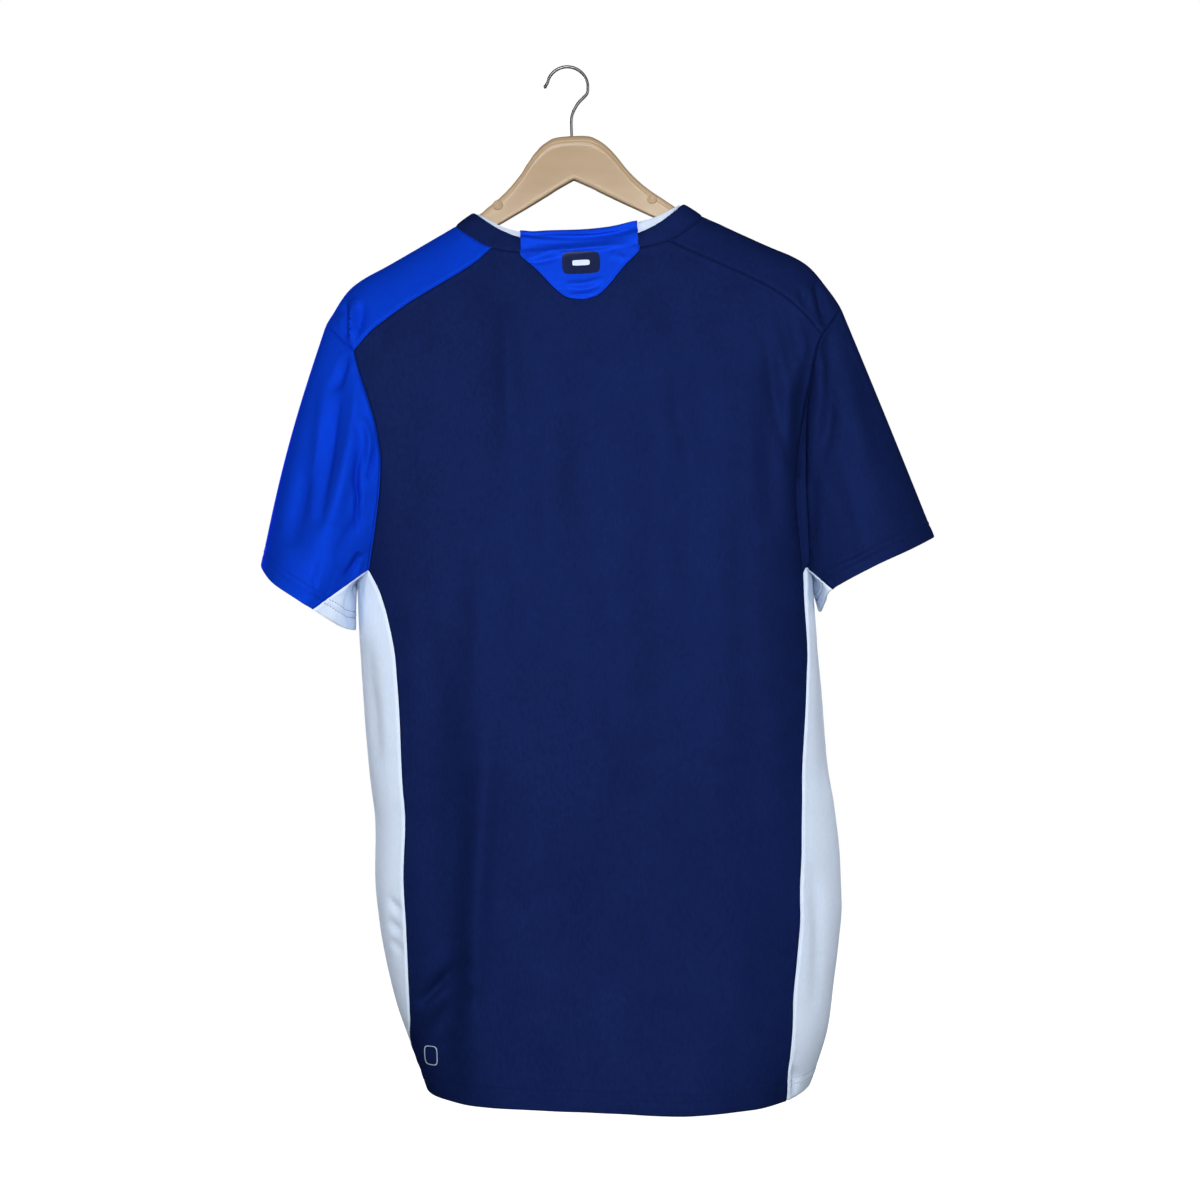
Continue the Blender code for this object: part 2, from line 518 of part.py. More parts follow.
def sleeve_grids(side, grids):
    """Sleeve and gusset, armhole (row 0) to cuff (last row), facing outwards."""
    name = "left" if side < 0 else "right"
    over, under = armhole_loop(side, grids)
    cuff_over, cuff_under = cuff_curve(side)
    along = np.linspace(0, 1, SLEEVE_ROWS + 1)[:, None, None]
    sleeve = (1 - along) * over[None] + along * cuff_over[None]
    gusset = (1 - along) * under[None] + along * cuff_under[None]
    around = np.linspace(0, 1, len(over))[None, :]
    run = along[:, :, 0]
    crown = np.exp(-((around - 0.5) / TOP_FOLD_SPREAD) ** 2) * np.sin(math.pi * run)
    sleeve[..., 0] += side * TOP_FOLD_BOW[name] * crown
    middle = sleeve.mean(axis=1, keepdims=True)
    outward = sleeve - middle
    outward /= np.linalg.norm(outward, axis=2, keepdims=True)
    height = np.zeros(run.shape[:1] + around.shape[1:])
    for fold in SLEEVE_FOLDS[name]:
        share = np.clip((run - fold.start) / (fold.end - fold.start), 0, 1)
        centre = fold.around0 + (fold.around1 - fold.around0) * share
        height += fold.height * np.sin(math.pi * share) * np.exp(-((around - centre) / fold.width) ** 2)
    sleeve += outward * height[..., None]
    sleeve[:, 0], sleeve[:, -1] = gusset[:, -1], gusset[:, 0]
    if side < 0:
        return sleeve, gusset
    return sleeve[:, ::-1], gusset[:, ::-1]


# ---------------------------------------------------------------- walls

def grid_normals(grid):
    """Area-weighted normals of each small face: along a row crossed with along a column."""
    a = grid[1:, 1:] - grid[:-1, :-1]
    b = grid[1:, :-1] - grid[:-1, 1:]
    return np.cross(a, b)


def point_key(point):
    return tuple(int(round(value * 1000)) for value in point)


def unit(vector):
    return vector / np.linalg.norm(vector)


def side_of(name):
    """Sleeves and gussets form one tube, everything else the other."""
    return "tube" if name.startswith(("sleeve", "gusset")) else "body"


def welded_normals(grids):
    """Outward normals by piece group and point; a sharp crease between tube and body keeps two."""
    sums = {"tube": {}, "body": {}}
    for name, grid in grids.items():
        group = sums[side_of(name)]
        normals = grid_normals(grid)
        for j, i in np.ndindex(normals.shape[:2]):
            for dj in (0, 1):
                for di in (0, 1):
                    key = point_key(grid[j + dj, i + di])
                    group[key] = group.get(key, 0) + normals[j, i]
    for key in sums["tube"].keys() & sums["body"].keys():
        tube, body = sums["tube"][key], sums["body"][key]
        if unit(tube) @ unit(body) > CREASE_COSINE:
            sums["tube"][key] = sums["body"][key] = tube + body
    return {name: {key: unit(total) for key, total in group.items()} for name, group in sums.items()}


def pull_in(grid, edge, amount):
    """Move one edge of a grid into the piece, square to the edge."""
    view = {"bottom": grid, "top": grid[::-1], "start": grid.swapaxes(0, 1),
            "end": grid[:, ::-1].swapaxes(0, 1)}[edge]
    border, inner = view[0].copy(), view[1]
    along = np.gradient(border, axis=0)
    along /= np.linalg.norm(along, axis=1, keepdims=True)
    inward = inner - border
    inward -= (inward * along).sum(axis=1, keepdims=True) * along
    inward /= np.linalg.norm(inward, axis=1, keepdims=True)
    view[0] = border + inward * amount


def wall_object(name, outer, inner, finish, ring=False):
    """Closed solid between an outer and an inner grid; a ring joins its last column to its first."""
    rows, columns = outer.shape[:2]
    mesh = bpy.data.meshes.new(name)
    points = np.concatenate([outer.reshape(-1, 3), inner.reshape(-1, 3)]) * MM
    shift = rows * columns

    def at(j, i, side):
        return side * shift + j * columns + i % columns

    faces = []
    across = columns if ring else columns - 1
    for j in range(rows - 1):
        for i in range(across):
            faces.append((at(j, i, 0), at(j, i + 1, 0), at(j + 1, i + 1, 0), at(j + 1, i, 0)))
            faces.append((at(j, i, 1), at(j + 1, i, 1), at(j + 1, i + 1, 1), at(j, i + 1, 1)))
    for i in range(across):
        last = rows - 1
        faces.append((at(0, i, 1), at(0, i + 1, 1), at(0, i + 1, 0), at(0, i, 0)))
        faces.append((at(last, i, 0), at(last, i + 1, 0), at(last, i + 1, 1), at(last, i, 1)))
    if not ring:
        for j in range(rows - 1):
            last = columns - 1
            faces.append((at(j, 0, 0), at(j + 1, 0, 0), at(j + 1, 0, 1), at(j, 0, 1)))
            faces.append((at(j, last, 1), at(j + 1, last, 1), at(j + 1, last, 0), at(j, last, 0)))
    mesh.from_pydata([tuple(point) for point in points], [], faces)
    return finish_mesh(name, mesh, finish)


def finish_mesh(name, mesh, finish):
    """Make the object, face it outwards, shade it smooth and give it its material."""
    work = bmesh.new()
    work.from_mesh(mesh)
    if work.calc_volume(signed=True) < 0:
        bmesh.ops.reverse_faces(work, faces=work.faces)
    work.to_mesh(mesh)
    work.free()
    mesh.shade_smooth()
    mesh.set_sharp_from_angle(angle=math.radians(50))
    mesh.materials.append(material(finish))
    thing = bpy.data.objects.new(name, mesh)
    bpy.context.scene.collection.objects.link(thing)
    return thing


def material(name):
    """Principled material with the part's colour, roughness and metallic value."""
    found = bpy.data.materials.get(name)
    if found:
        return found
    colour, roughness, metallic = FINISHES[name]
    made = bpy.data.materials.new(name)
    made.use_nodes = True
    shader = made.node_tree.nodes["Principled BSDF"]
    shader.inputs["Base Color"].default_value = (*colour, 1)
    shader.inputs["Roughness"].default_value = roughness
    shader.inputs["Metallic"].default_value = metallic
    made.diffuse_color = (*colour, 1)
    return made


# ---------------------------------------------------------------- pieces

def all_grids():
    """Outer surfaces of the pieces that are sewn to each other, facing outwards."""
    across = {BACK: 2 * YOKE_LONG + NECK_BACK, FRONT: 2 * YOKE_LONG + NECK_FRONT}
    grids = {name: panel_grid(name, SIDE_COLUMNS, BODY_ROWS) for name in ("side_panel_left", "side_panel_right")}
    back = panel_grid("back_panel", across[BACK], BODY_ROWS)
    front = panel_grid("front_panel", across[FRONT], BODY_ROWS)
    grids["back_upper"] = upper_grid(BACK, back[-1])
    grids["front_upper"] = upper_grid(FRONT, front[-1])
    for side, name in ((-1, "left"), (1, "right")):
        grids["yoke_" + name] = yoke_grid(side)
    for side, name in ((-1, "left"), (1, "right")):
        grids["sleeve_" + name], grids["gusset_" + name] = sleeve_grids(side, grids)
    grids["back_panel"] = np.concatenate([back[:-1], grids.pop("back_upper")])
    grids["front_panel"] = np.concatenate([front[:-1], grids.pop("front_upper")])
    seam, top, _ = collar_ring()
    middle = (seam + top) / 2
    grids["collar_band"] = np.stack([seam, middle, top])
    return grids


FREE_EDGES = {"back_panel": {"bottom"}, "front_panel": {"bottom"}, "side_panel_left": {"bottom"},
              "side_panel_right": {"bottom"}, "sleeve_left": {"top"}, "sleeve_right": {"top"},
              "gusset_left": {"top"}, "gusset_right": {"top"}, "collar_band": {"top", "start", "end"}}
PIECE_FINISH = {"back_panel": "navy_knit", "front_panel": "navy_knit", "side_panel_left": "pale_knit",
                "side_panel_right": "pale_knit", "sleeve_left": "royal_knit", "sleeve_right": "navy_knit",
                "gusset_left": "pale_knit", "gusset_right": "pale_knit", "yoke_left": "royal_knit",
                "yoke_right": "navy_knit", "collar_band": "navy_knit"}


def build_sewn_pieces(grids):
    """Give each sewn piece its wall: inner points along shared normals, edges drawn in at seams."""
    normals = welded_normals(grids)
    for name, grid in grids.items():
        group = normals[side_of(name)]
        normal = np.array([[group[point_key(point)] for point in row] for row in grid])
        outer, inner = grid.copy(), grid - WALL * normal
        for edge in ("bottom", "top", "start", "end"):
            if edge not in FREE_EDGES.get(name, set()):
                pull_in(outer, edge, SEAM_GAP / 2)
                pull_in(inner, edge, SEAM_GAP / 2)
        ring = name == "collar_band"
        if ring:
            outer, inner = outer[:, :-1], inner[:, :-1]
        wall_object(name, outer, inner, PIECE_FINISH[name], ring)


def build_facing():
    """Pale facing inside the collar, standing above the band's top edge."""
    seam, top, rise = collar_ring()
    seam, top, rise = seam[:-1], top[:-1], rise[:-1]
    up = top - seam
    height = np.linalg.norm(up, axis=1, keepdims=True)
    up /= height
    along = np.roll(seam, -1, axis=0) - np.roll(seam, 1, axis=0)
    outward = np.cross(along, up)
    outward /= np.linalg.norm(outward, axis=1, keepdims=True)
    levels = [np.full(len(rise), FACING_START), np.full(len(rise), 0.8), 1 + rise / height[:, 0]]
    base = np.stack([seam + up * height * level[:, None] for level in levels])
    outer = base - outward * (WALL + FACING_GAP)
    inner = base - outward * (WALL + FACING_GAP + TRIM_WALL)
    wall_object("collar_facing", outer, inner, "pale_knit", ring=True)
    return outer, inner


def carrier_tree(names):
    """Search tree over the outer faces of the pieces that the tab lies on."""
    work = bmesh.new()
    for name in names:
        work.from_mesh(bpy.data.objects[name].data)
    tree = BVHTree.FromBMesh(work)
    work.free()
    return tree


def build_tab(facing_outer, facing_inner):
    """Back-neck tab: lies on the back panel and the band, folds over the facing and hangs inside."""
    tree = carrier_tree(("back_panel", "collar_band"))
    _, band_top, _ = collar_ring()
    band_top = np.array(sorted((point for point in band_top if point[1] < -2), key=lambda point: point[0]))
    back_top = [k for k in range(facing_outer.shape[1]) if facing_outer[-1, k, 1] < -2]
    order = sorted(back_top, key=lambda k: facing_outer[-1, k, 0])
    edge_x = facing_outer[-1, order, 0]
    reach = LAY_GAP + TRIM_WALL / 2

    def facing_at(grid, row, x, axis):
        return float(np.interp(x, edge_x, grid[row, order, axis]))

    paths = []
    for share in np.linspace(-1, 1, TAB_COLUMNS + 1):
        path = []
        for row in TAB_OUTLINE:
            x = TAB_X + share * row.half
            hit = tree.ray_cast(Vector((x * MM, -1, row.z * MM)), Vector((0, 1, 0)))[0]
            path.append((x, hit.y / MM - reach, row.z))
        x = TAB_X + share * (TAB_OUTLINE[-1].half - TAB_FOLD_TRIM)
        top_z = facing_at(facing_outer, -1, x, 2)
        near = facing_at(facing_outer, -1, x, 1)
        far = facing_at(facing_inner, -1, x, 1)
        centre, radius = (near + far) / 2, abs(far - near) / 2 + reach
        band_y, band_z = (float(np.interp(x, band_top[:, 0], band_top[:, axis])) for axis in (1, 2))
        path.append((x, band_y - reach - TAB_EASE, band_z))
        path.append((x, (band_y + near - WALL) / 2 - reach, (band_z + top_z) / 2))
        for angle in np.linspace(0, math.pi, FOLD_STEPS + 1):
            path.append((x, centre - radius * math.cos(angle), top_z + radius * math.sin(angle)))
        lean = (facing_at(facing_inner, 0, x, 1) - far) / max(top_z - facing_at(facing_inner, 0, x, 2), 1)
        for drop in (TAB_INNER_LEG / 2, TAB_INNER_LEG):
            shift = max(lean * drop, 0)
            path.append((x, far + reach + shift + TAB_EASE, top_z - drop))
        paths.append(path)
    middle = np.array(paths).swapaxes(0, 1)
    across, along = np.gradient(middle, axis=1), np.gradient(middle, axis=0)
    normal = np.cross(across, along)
    normal /= np.linalg.norm(normal, axis=2, keepdims=True)
    half = TRIM_WALL / 2
    wall_object("neck_tab", middle + normal * half, middle - normal * half, "royal_knit")


def build_hanger():
    """Moulded hanger body: rounded sections along both arms, one bore for the hook's stem."""
    top, bottom = smooth(HANGER_OUTLINE, "h", "top"), smooth(HANGER_OUTLINE, "h", "bottom")
    stations = [row.h for row in HANGER_OUTLINE]
    places = [(-1, h) for h in reversed(stations[1:])] + [(1, h) for h in stations]
    sections = []
    for side, h in places:
        high, low = float(top(h)), float(bottom(h))
        thick = HUB_HALF_THICK + (ARM_HALF_THICK - HUB_HALF_THICK) * min(h / HUB_LENGTH, 1)
        if h >= stations[-2]:
            thick *= TIP_THINNING[0] if h < stations[-1] else TIP_THINNING[1]
        ring = []
        for k in range(HANGER_SIDES):
            angle = 2 * math.pi * (k + 0.5) / HANGER_SIDES
            cos, sin = math.cos(angle), math.sin(angle)
            across = math.copysign(abs(cos) ** ARM_ROUNDING, cos)
            rise = math.copysign(abs(sin) ** ARM_ROUNDING, sin)
            x, z = from_hanger(side, h, (high + low) / 2 + rise * (high - low) / 2)
            ring.append((float(x), across * thick, float(z)))
        sections.append(ring)
    outline = np.array(sections) * MM
    count, sides = outline.shape[:2]
    faces = [(i * sides + k, i * sides + (k + 1) % sides, (i + 1) * sides + (k + 1) % sides, (i + 1) * sides + k)
             for i in range(count - 1) for k in range(sides)]
    faces += [tuple(reversed(range(sides))), tuple((count - 1) * sides + k for k in range(sides))]
    mesh = bpy.data.meshes.new("hanger_body")
    mesh.from_pydata([tuple(point) for point in outline.reshape(-1, 3)], [], faces)
    hanger = finish_mesh("hanger_body", mesh, "hanger_plastic")
    cut_bore(hanger)


def cut_bore(hanger):
    """Blind bore in the hub for the hook's stem."""
    work = bmesh.new()
    bmesh.ops.create_cone(work, cap_ends=True, segments=16, radius1=(WIRE_RADIUS + SEAM_GAP) * MM,
                          radius2=(WIRE_RADIUS + SEAM_GAP) * MM, depth=2 * BORE_DEPTH * MM)
    mesh = bpy.data.meshes.new("bore_cutter")
    work.to_mesh(mesh)
    work.free()
    cutter = bpy.data.objects.new("bore_cutter", mesh)
    bpy.context.scene.collection.objects.link(cutter)
    cutter.location = (HUB_X * MM, 0, HUB_Z * MM)
    cutter.hide_render = True
    cutter.display_type = "WIRE"
    cut = hanger.modifiers.new("bore", "BOOLEAN")
    cut.operation = "DIFFERENCE"
    cut.object = cutter


def build_hook():
    """Round steel wire: stem, S-bend and three quarters of a circle, as a bevelled curve."""
    stem = [Wire(HUB_X, HUB_Z - BORE_DEPTH + STEM_CLEARANCE)] + HOOK_BEND
    angles = np.radians(np.linspace(*HOOK_ARC_DEGREES, HOOK_STEPS))
    arc = [(HOOK_CENTRE.x + HOOK_RADIUS * math.cos(a), HOOK_CENTRE.z + HOOK_RADIUS * math.sin(a)) for a in angles]
    guide = [(x, 0.0, z) for x, z in stem + arc + [HOOK_TIP]]
    extended = [guide[0]] + guide + [guide[-1]]
    points = []
    for k in range(len(guide) - 1):
        a, b, c, d = (np.array(extended[k + n]) for n in range(4))
        steps = 2 if k < len(stem) else 1
        for t in np.arange(steps) / steps:
            points.append(0.5 * (2 * b + (c - a) * t + (2 * a - 5 * b + 4 * c - d) * t ** 2
                                 + (3 * b - 3 * c + d - a) * t ** 3))
    points.append(np.array(guide[-1]))
    curve = bpy.data.curves.new("hook", "CURVE")
    curve.dimensions = "3D"
    curve.bevel_depth = WIRE_RADIUS * MM
    curve.bevel_resolution = 3
    curve.use_fill_caps = True
    spline = curve.splines.new("POLY")
    spline.points.add(len(points) - 1)
    for place, point in zip(spline.points, points):
        place.co = (*(point * MM), 1)
    curve.materials.append(material("hook_steel"))
    bpy.context.scene.collection.objects.link(bpy.data.objects.new("hook", curve))


def build():
    for thing in list(bpy.data.objects):
        bpy.data.objects.remove(thing, do_unlink=True)
    grids = all_grids()
    build_sewn_pieces(grids)
    facing_outer, facing_inner = build_facing()
    build_tab(facing_outer, facing_inner)
    build_hanger()
    build_hook()


build()
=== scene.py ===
"""Looks of the workout t-shirt on its hanger: fine cloth shells, seams, stitches, prints, light and camera.

Frame: +Z up, origin at the inner top of the hook, the wearer's back towards -Y. Tables are in millimetres.
"""
from collections import namedtuple
import math

import bmesh
import bpy
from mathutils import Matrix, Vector
from mathutils.bvhtree import BVHTree
from mathutils.kdtree import KDTree
import numpy as np


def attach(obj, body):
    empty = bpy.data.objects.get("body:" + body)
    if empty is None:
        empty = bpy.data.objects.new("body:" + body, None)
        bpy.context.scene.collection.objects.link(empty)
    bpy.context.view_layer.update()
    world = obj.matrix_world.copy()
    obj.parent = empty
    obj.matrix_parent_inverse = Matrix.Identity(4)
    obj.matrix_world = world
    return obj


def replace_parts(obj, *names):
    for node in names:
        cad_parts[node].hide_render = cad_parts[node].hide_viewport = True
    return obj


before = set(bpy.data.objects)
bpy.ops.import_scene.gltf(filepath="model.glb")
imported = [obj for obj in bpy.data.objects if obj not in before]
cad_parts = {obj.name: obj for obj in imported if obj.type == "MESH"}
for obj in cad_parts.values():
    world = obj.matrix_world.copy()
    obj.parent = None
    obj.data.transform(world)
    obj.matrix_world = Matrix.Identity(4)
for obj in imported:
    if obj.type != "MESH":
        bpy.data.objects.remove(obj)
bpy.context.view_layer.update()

MM = 0.001
BACK, FRONT = -1, 1
SIDES = {-1: "left", 1: "right"}


def table(columns, *rows):
    """Rows of values with named columns."""
    named = namedtuple("Row", columns)
    return [named(*row) for row in rows]


# ---------------------------------------------------------------- sizes shared with the solids

HUB_X, HUB_Z = 1.5, -60.0
HANGER_TILT = math.radians(0.55)
ARM_HALF_THICK, HUB_HALF_THICK = 5.5, 6.5
WIRE_RADIUS = 1.5
HOOK_RADIUS = 18.0
HOOK_CENTRE = (-0.5, -16.5)
BORE_DEPTH = 16.0

SHOULDER_LINE = table(
    "h z", (60, -107), (100, -130.5), (128, -145.1), (150, -156.5), (170, -166.6), (190, -176.3),
    (200, -183), (205, -187.8), (210, -194), (217, -204), (224, -214.5), (229, -223.5))
CAP_IN = {-1: 4.2, 1: 0.0}      # the left cap seam meets the shoulder line this much further in
HANGER_OUTLINE = table(
    "h top bottom", (0, -59.8, -98.4), (9, -60, -102.9), (16, -61, -106.5), (22, -63.8, -110),
    (28, -68, -113.3), (34, -74, -116.6), (40, -81.5, -119.8), (46, -90, -123), (53, -98.3, -126.6),
    (60, -105.4, -130.3), (68, -112.2, -134.4), (76, -118, -138.6), (84, -124, -142.8),
    (95, -131.6, -148.6), (107, -139, -154.8), (120, -145.4, -161.2), (135, -152.2, -168.4),
    (150, -159.5, -175.2), (165, -167, -182.2), (178, -173.9, -188), (187, -179.6, -191.4),
    (193, -184, -192.8), (197, -187.6, -192.4))
SECTIONS = table(
    "z left right back front", (-130, -240, 246, 14, 16), (-160, -240, 246, 27, 31),
    (-200, -238, 244, 41, 45), (-250, -226, 236, 56, 60), (-300, -212, 214, 67, 72),
    (-350, -205, 203, 75, 80), (-440, -203, 196.5, 84, 89), (-495, -203, 197.7, 87, 92),
    (-560, -201.7, 201, 89, 94), (-618, -198.6, 203.1, 90, 95), (-654, -195.8, 207, 90, 95),
    (-706, -197.9, 210.4, 90, 95), (-742, -195.8, 210.2, 91, 96), (-777, -191.1, 206, 93, 98),
    (-813, -183.8, 200, 96, 101), (-848, -173, 194, 100, 104), (-884, -161.3, 181.5, 104, 108),
    (-912, -152, 169, 106, 110))
SQUARENESS = 2.4
DRAPE_SLOPE = 0.30
RIDGE_RADIUS = 8.0
RIDGE_REACH = 6.0               # the shoulder line's slope is averaged over this much to either side
BLEND_POWER = 4.0
FOLDS_START, FOLDS_FULL = 30.0, 90.0

BODY_HEM = table(
    "x z", (-160, -889), (-125, -892.5), (-60, -895.5), (0, -899), (67, -905), (120, -905.5), (150, -903),
    (175, -898))
HEM_MIDDLE_Z = -899.0
SIDE_SEAMS = table(
    "z left_back left_front right_back right_front", (-435, 41, 33, 29, 45), (-452, 53, 31, 31, 50),
    (-478, 63, 30, 35, 58), (-513, 70, 32, 38, 62), (-550, 71, 37, 47, 60), (-616, 68, 44, 60, 51),
    (-685, 64, 50, 73, 39), (-736, 62, 54, 79, 33), (-788, 55, 62, 80, 32), (-822, 45, 70, 81, 31),
    (-848, 22, 79, 81, 31), (-872, 6, 88, 79, 33), (-910, -10, 98, 66, 44))
JUNCTION_Z = {-1: -435.0, 1: -449.0}
UNDERARM_DIP = 7.0
ARMHOLE = {
    "left": table("z x", (-243, -196), (-262, -191.5), (-288, -184), (-314, -177.8), (-340, -175.3),
        (-370, -177.8), (-400, -183), (-435, -190.2)),
    "right": table("z x", (-246, 213), (-262, 206), (-282, 201.4), (-316, 194.4), (-347, 191.4),
        (-390, 189.6), (-420, 189.8), (-449, 190.3))}
FRONT_SCOOP = 7.0
YOKE_SEAM = {
    BACK: table("left_x left_z right_x right_z", (-72, -157.2, 82, -157.2), (-90.4, -171.6, 102, -167.2),
        (-117, -186.7, 124, -178), (-143.7, -201.2, 155, -193.5), (-166.1, -215.9, 179.3, -208.7),
        (-181, -227, 199.7, -228.2), (-196, -243, 213, -246)),
    FRONT: table("left_x left_z right_x right_z", (-93, -157, 103, -157), (-118, -176, 128, -176),
        (-150, -196, 160, -197), (-178, -219, 191, -220), (-199, -243, 215, -246))}

NECK = table(
    "seam_h seam_z top_h top_z rise", (0, -168.5, 0, -155, 8.5), (46, -163.6, 44, -151.6, 7.6),
    (77, -157.2, 68, -142.6, 4), (108.7, -135.4, 92.5, -124, 1.6), (98, -157, 84, -145, 1.6),
    (60, -201, 53, -187.5, 1.6), (0, -224, 0, -210, 1.6))
NECK_X = 5.0
MIDDLE_ROW, YOKE_ROW, NECK_POINT = {BACK: 0, FRONT: 6}, {BACK: 2, FRONT: 4}, 3      # rows of NECK
NECK_TOP_DEPTH = {BACK: 22.0, FRONT: 37.0}
NECK_TOP_SQUARENESS = 3.0
FACING_START = 0.42

TAB_OUTLINE = table(
    "z half", (-208, 4.5), (-206.6, 10.5), (-203.8, 15.5), (-199, 21), (-192, 27.5), (-184, 34),
    (-176.5, 41), (-170, 48), (-166, 51.5), (-161, 52.3))
TAB_X = 4.5
TAB_FOOT, TAB_SPARE = 0.4, 0.1              # where its fold begins below the crest; more air under it
TAB_RAYS = 1.5              # the cloth under the tab is sought at least this far below the crest
TAB_TURN, TAB_FLATTER = 0.3, 0.3            # angle at which its fold starts, and how much lower its round is
TAB_LEG_DROPS, TAB_LEG_LEAN = (4.0, 9.0, 15.0), 0.06    # points of the leg that hangs down inside
TAB_FOLD_TRIM = 1.2
TAB_PULL = 1.2              # the tab's fold is drawn straighter than the collar's dip

CUFF = {
    "left": table("x y z", (-287, 0, -426), (-273.4, -42, -441.1), (-249.4, -60, -457.6),
        (-236.6, -57, -466.4), (-216.5, -36, -481.5), (-206.8, 0, -486), (-217, 37, -481.5),
        (-237, 57, -467), (-250, 60, -458), (-273.5, 42, -441)),
    "right": table("x y z", (305.4, 0, -425.5), (280.9, -36, -435.7), (246, -53, -449.2),
        (209.5, -45, -467.5), (204, -28, -478), (201.8, 0, -487), (204.5, 34, -479), (211, 58, -468),
        (246, 61, -450), (281, 40, -436))}
CUFF_CORNER = 3
TOP_FOLD_BOW, CROWN_WIDTH = {"left": 4.5, "right": 0.5}, 0.16
CAD_UPPER_ROWS, CAD_YOKE_HALF = 8, 4         # how the solids share out a cuff between armhole and cap

# ---------------------------------------------------------------- cloth of the looks

CLOTH = 0.9                 # wall of the knit
HEM_CLOTH = 1.5             # wall where a hem is turned up double
HEM_TAPER = 1.5             # it thins out over this much past the upper needle line
BAND_CLOTH = 1.6            # wall of the collar band, two layers of knit
BAND_FULL, BAND_SET, BAND_BOW = 0.75, 1.5, 0.5      # the band swells out just above its seam, and bows
FACING_BEHIND = 0.5         # air between band and facing
FACING_SWAY, FACING_BIAS = (0.25, 9), 0.8           # the facing sways a little; its rows crowd upwards
LAY_GAP = 0.6               # air under the tab
LEAST_FILLED = 0.31         # a flat cut fills at least this share of its width by its length

# A relief across the cloth: its height outwards, its distance from a seam or edge and its width
Relief = namedtuple("Relief", "height away width")
SEAM_GROOVE = Relief(-1.05, 0.0, 1.0)
SEAM_SWELL = Relief(0.3, 2.8, 1.7)          # over the allowance behind it
HEM_EDGE = Relief(-0.5, 0.0, 0.7)
BAND_TOP, FACING_TOP = Relief(-0.7, 0.0, 0.8), Relief(-0.45, 0.0, 0.8)
FACING_HILLS = Relief(4.2, 60, 24), Relief(-1.2, -38, 10)   # rises of the facing's back edge across x
TAB_NEEDLE, TAB_EDGE = Relief(-0.25, 2.2, 0.8), Relief(-0.35, 0.0, 0.6)
TAB_ROLL = Relief(1.7, 0.0, 2.6)            # the tab's fold swells outwards
NEEDLE_SINK, NEEDLE_WIDTH = 0.65, 1.5
HEM_RISE, HEM_PAST, HEM_SOFT = 0.45, 2.0, 0.8       # the doubled cloth of a hem ends in a soft step
CREST_EASE, CREST_LEAST = 12.0, 0.15        # seams fade out this close to the shoulders' crest
FACE_EASE, DRAG_EASE = 6.0, 12.0            # folds fade out this close to the middle plane
DRAG_REACH, DRAG_MIDDLE, DRAG_LENGTH = 5.0, -378.0, 80.0     # valley along the armhole seams
DRAG_DEPTH = {BACK: {-1: 1.0, 1: 10.5}, FRONT: {-1: 3.5, 1: 4.0}}
PUCKER, PUCKER_REACH, PUCKER_LENGTH = 0.22, 4.5, 13.0       # small folds across a seam
PUCKER_WAVER, PUCKER_FADE = (1.9, 11.0), (0.6, 0.4, 23.0)   # they come unevenly and vary in height
CREASE_EASE, YOKE_EASE, TAB_EASE = 3.5, 1.8, 3.0     # creases of one piece die out this close to its seams

# Each sewn piece: its slot, its thread, its sewn edges, its hem's edge and the needle lines above that
Sewn = namedtuple("Sewn", "slot thread seams hem needles")
BODY = (("start", "end", "top"), "bottom", (18.0, 12.3))
ARM = (("bottom", "start", "end"), "top", (16.5, 10.8))
YOKE = (("bottom", "top", "start", "end"), None, ())
SEWN = {name: Sewn(slot, thread, *edges) for name, slot, thread, edges in (
    ("back_panel", "navy_knit", "navy_thread", BODY), ("front_panel", "navy_knit", "navy_thread", BODY),
    ("side_panel_left", "pale_knit", "grey_thread", BODY),
    ("side_panel_right", "pale_knit", "grey_thread", BODY),
    ("sleeve_left", "royal_knit", "royal_thread", ARM), ("sleeve_right", "navy_knit", "navy_thread", ARM),
    ("gusset_left", "pale_knit", "navy_thread", ARM), ("gusset_right", "pale_knit", "navy_thread", ARM),
    ("yoke_left", "royal_knit", None, YOKE), ("yoke_right", "navy_knit", None, YOKE))}

# How finely each piece is divided
LONG, HALF, NECK_STEPS = 64, 24, {BACK: 46, FRONT: 60}
BODY_ROWS, UPPER_ROWS, SIDE_COLUMNS, SLEEVE_ROWS = 136, 88, 40, 96
RING_STEPS, FACING_ROWS, RIDGE_STEPS, SEAM_STEPS = 300, 12, 400, 121
TAB_COLUMNS, TAB_STEPS, TAB_TURN_STEPS = 53, (40, 6, 9), 9      # steps over panel, band and facing
BED_ROWS = 60               # rows of the back panel that are enough where the tab or a print lies on it
TAB_OUTER_ROWS = 100        # rows of the tab before its fold

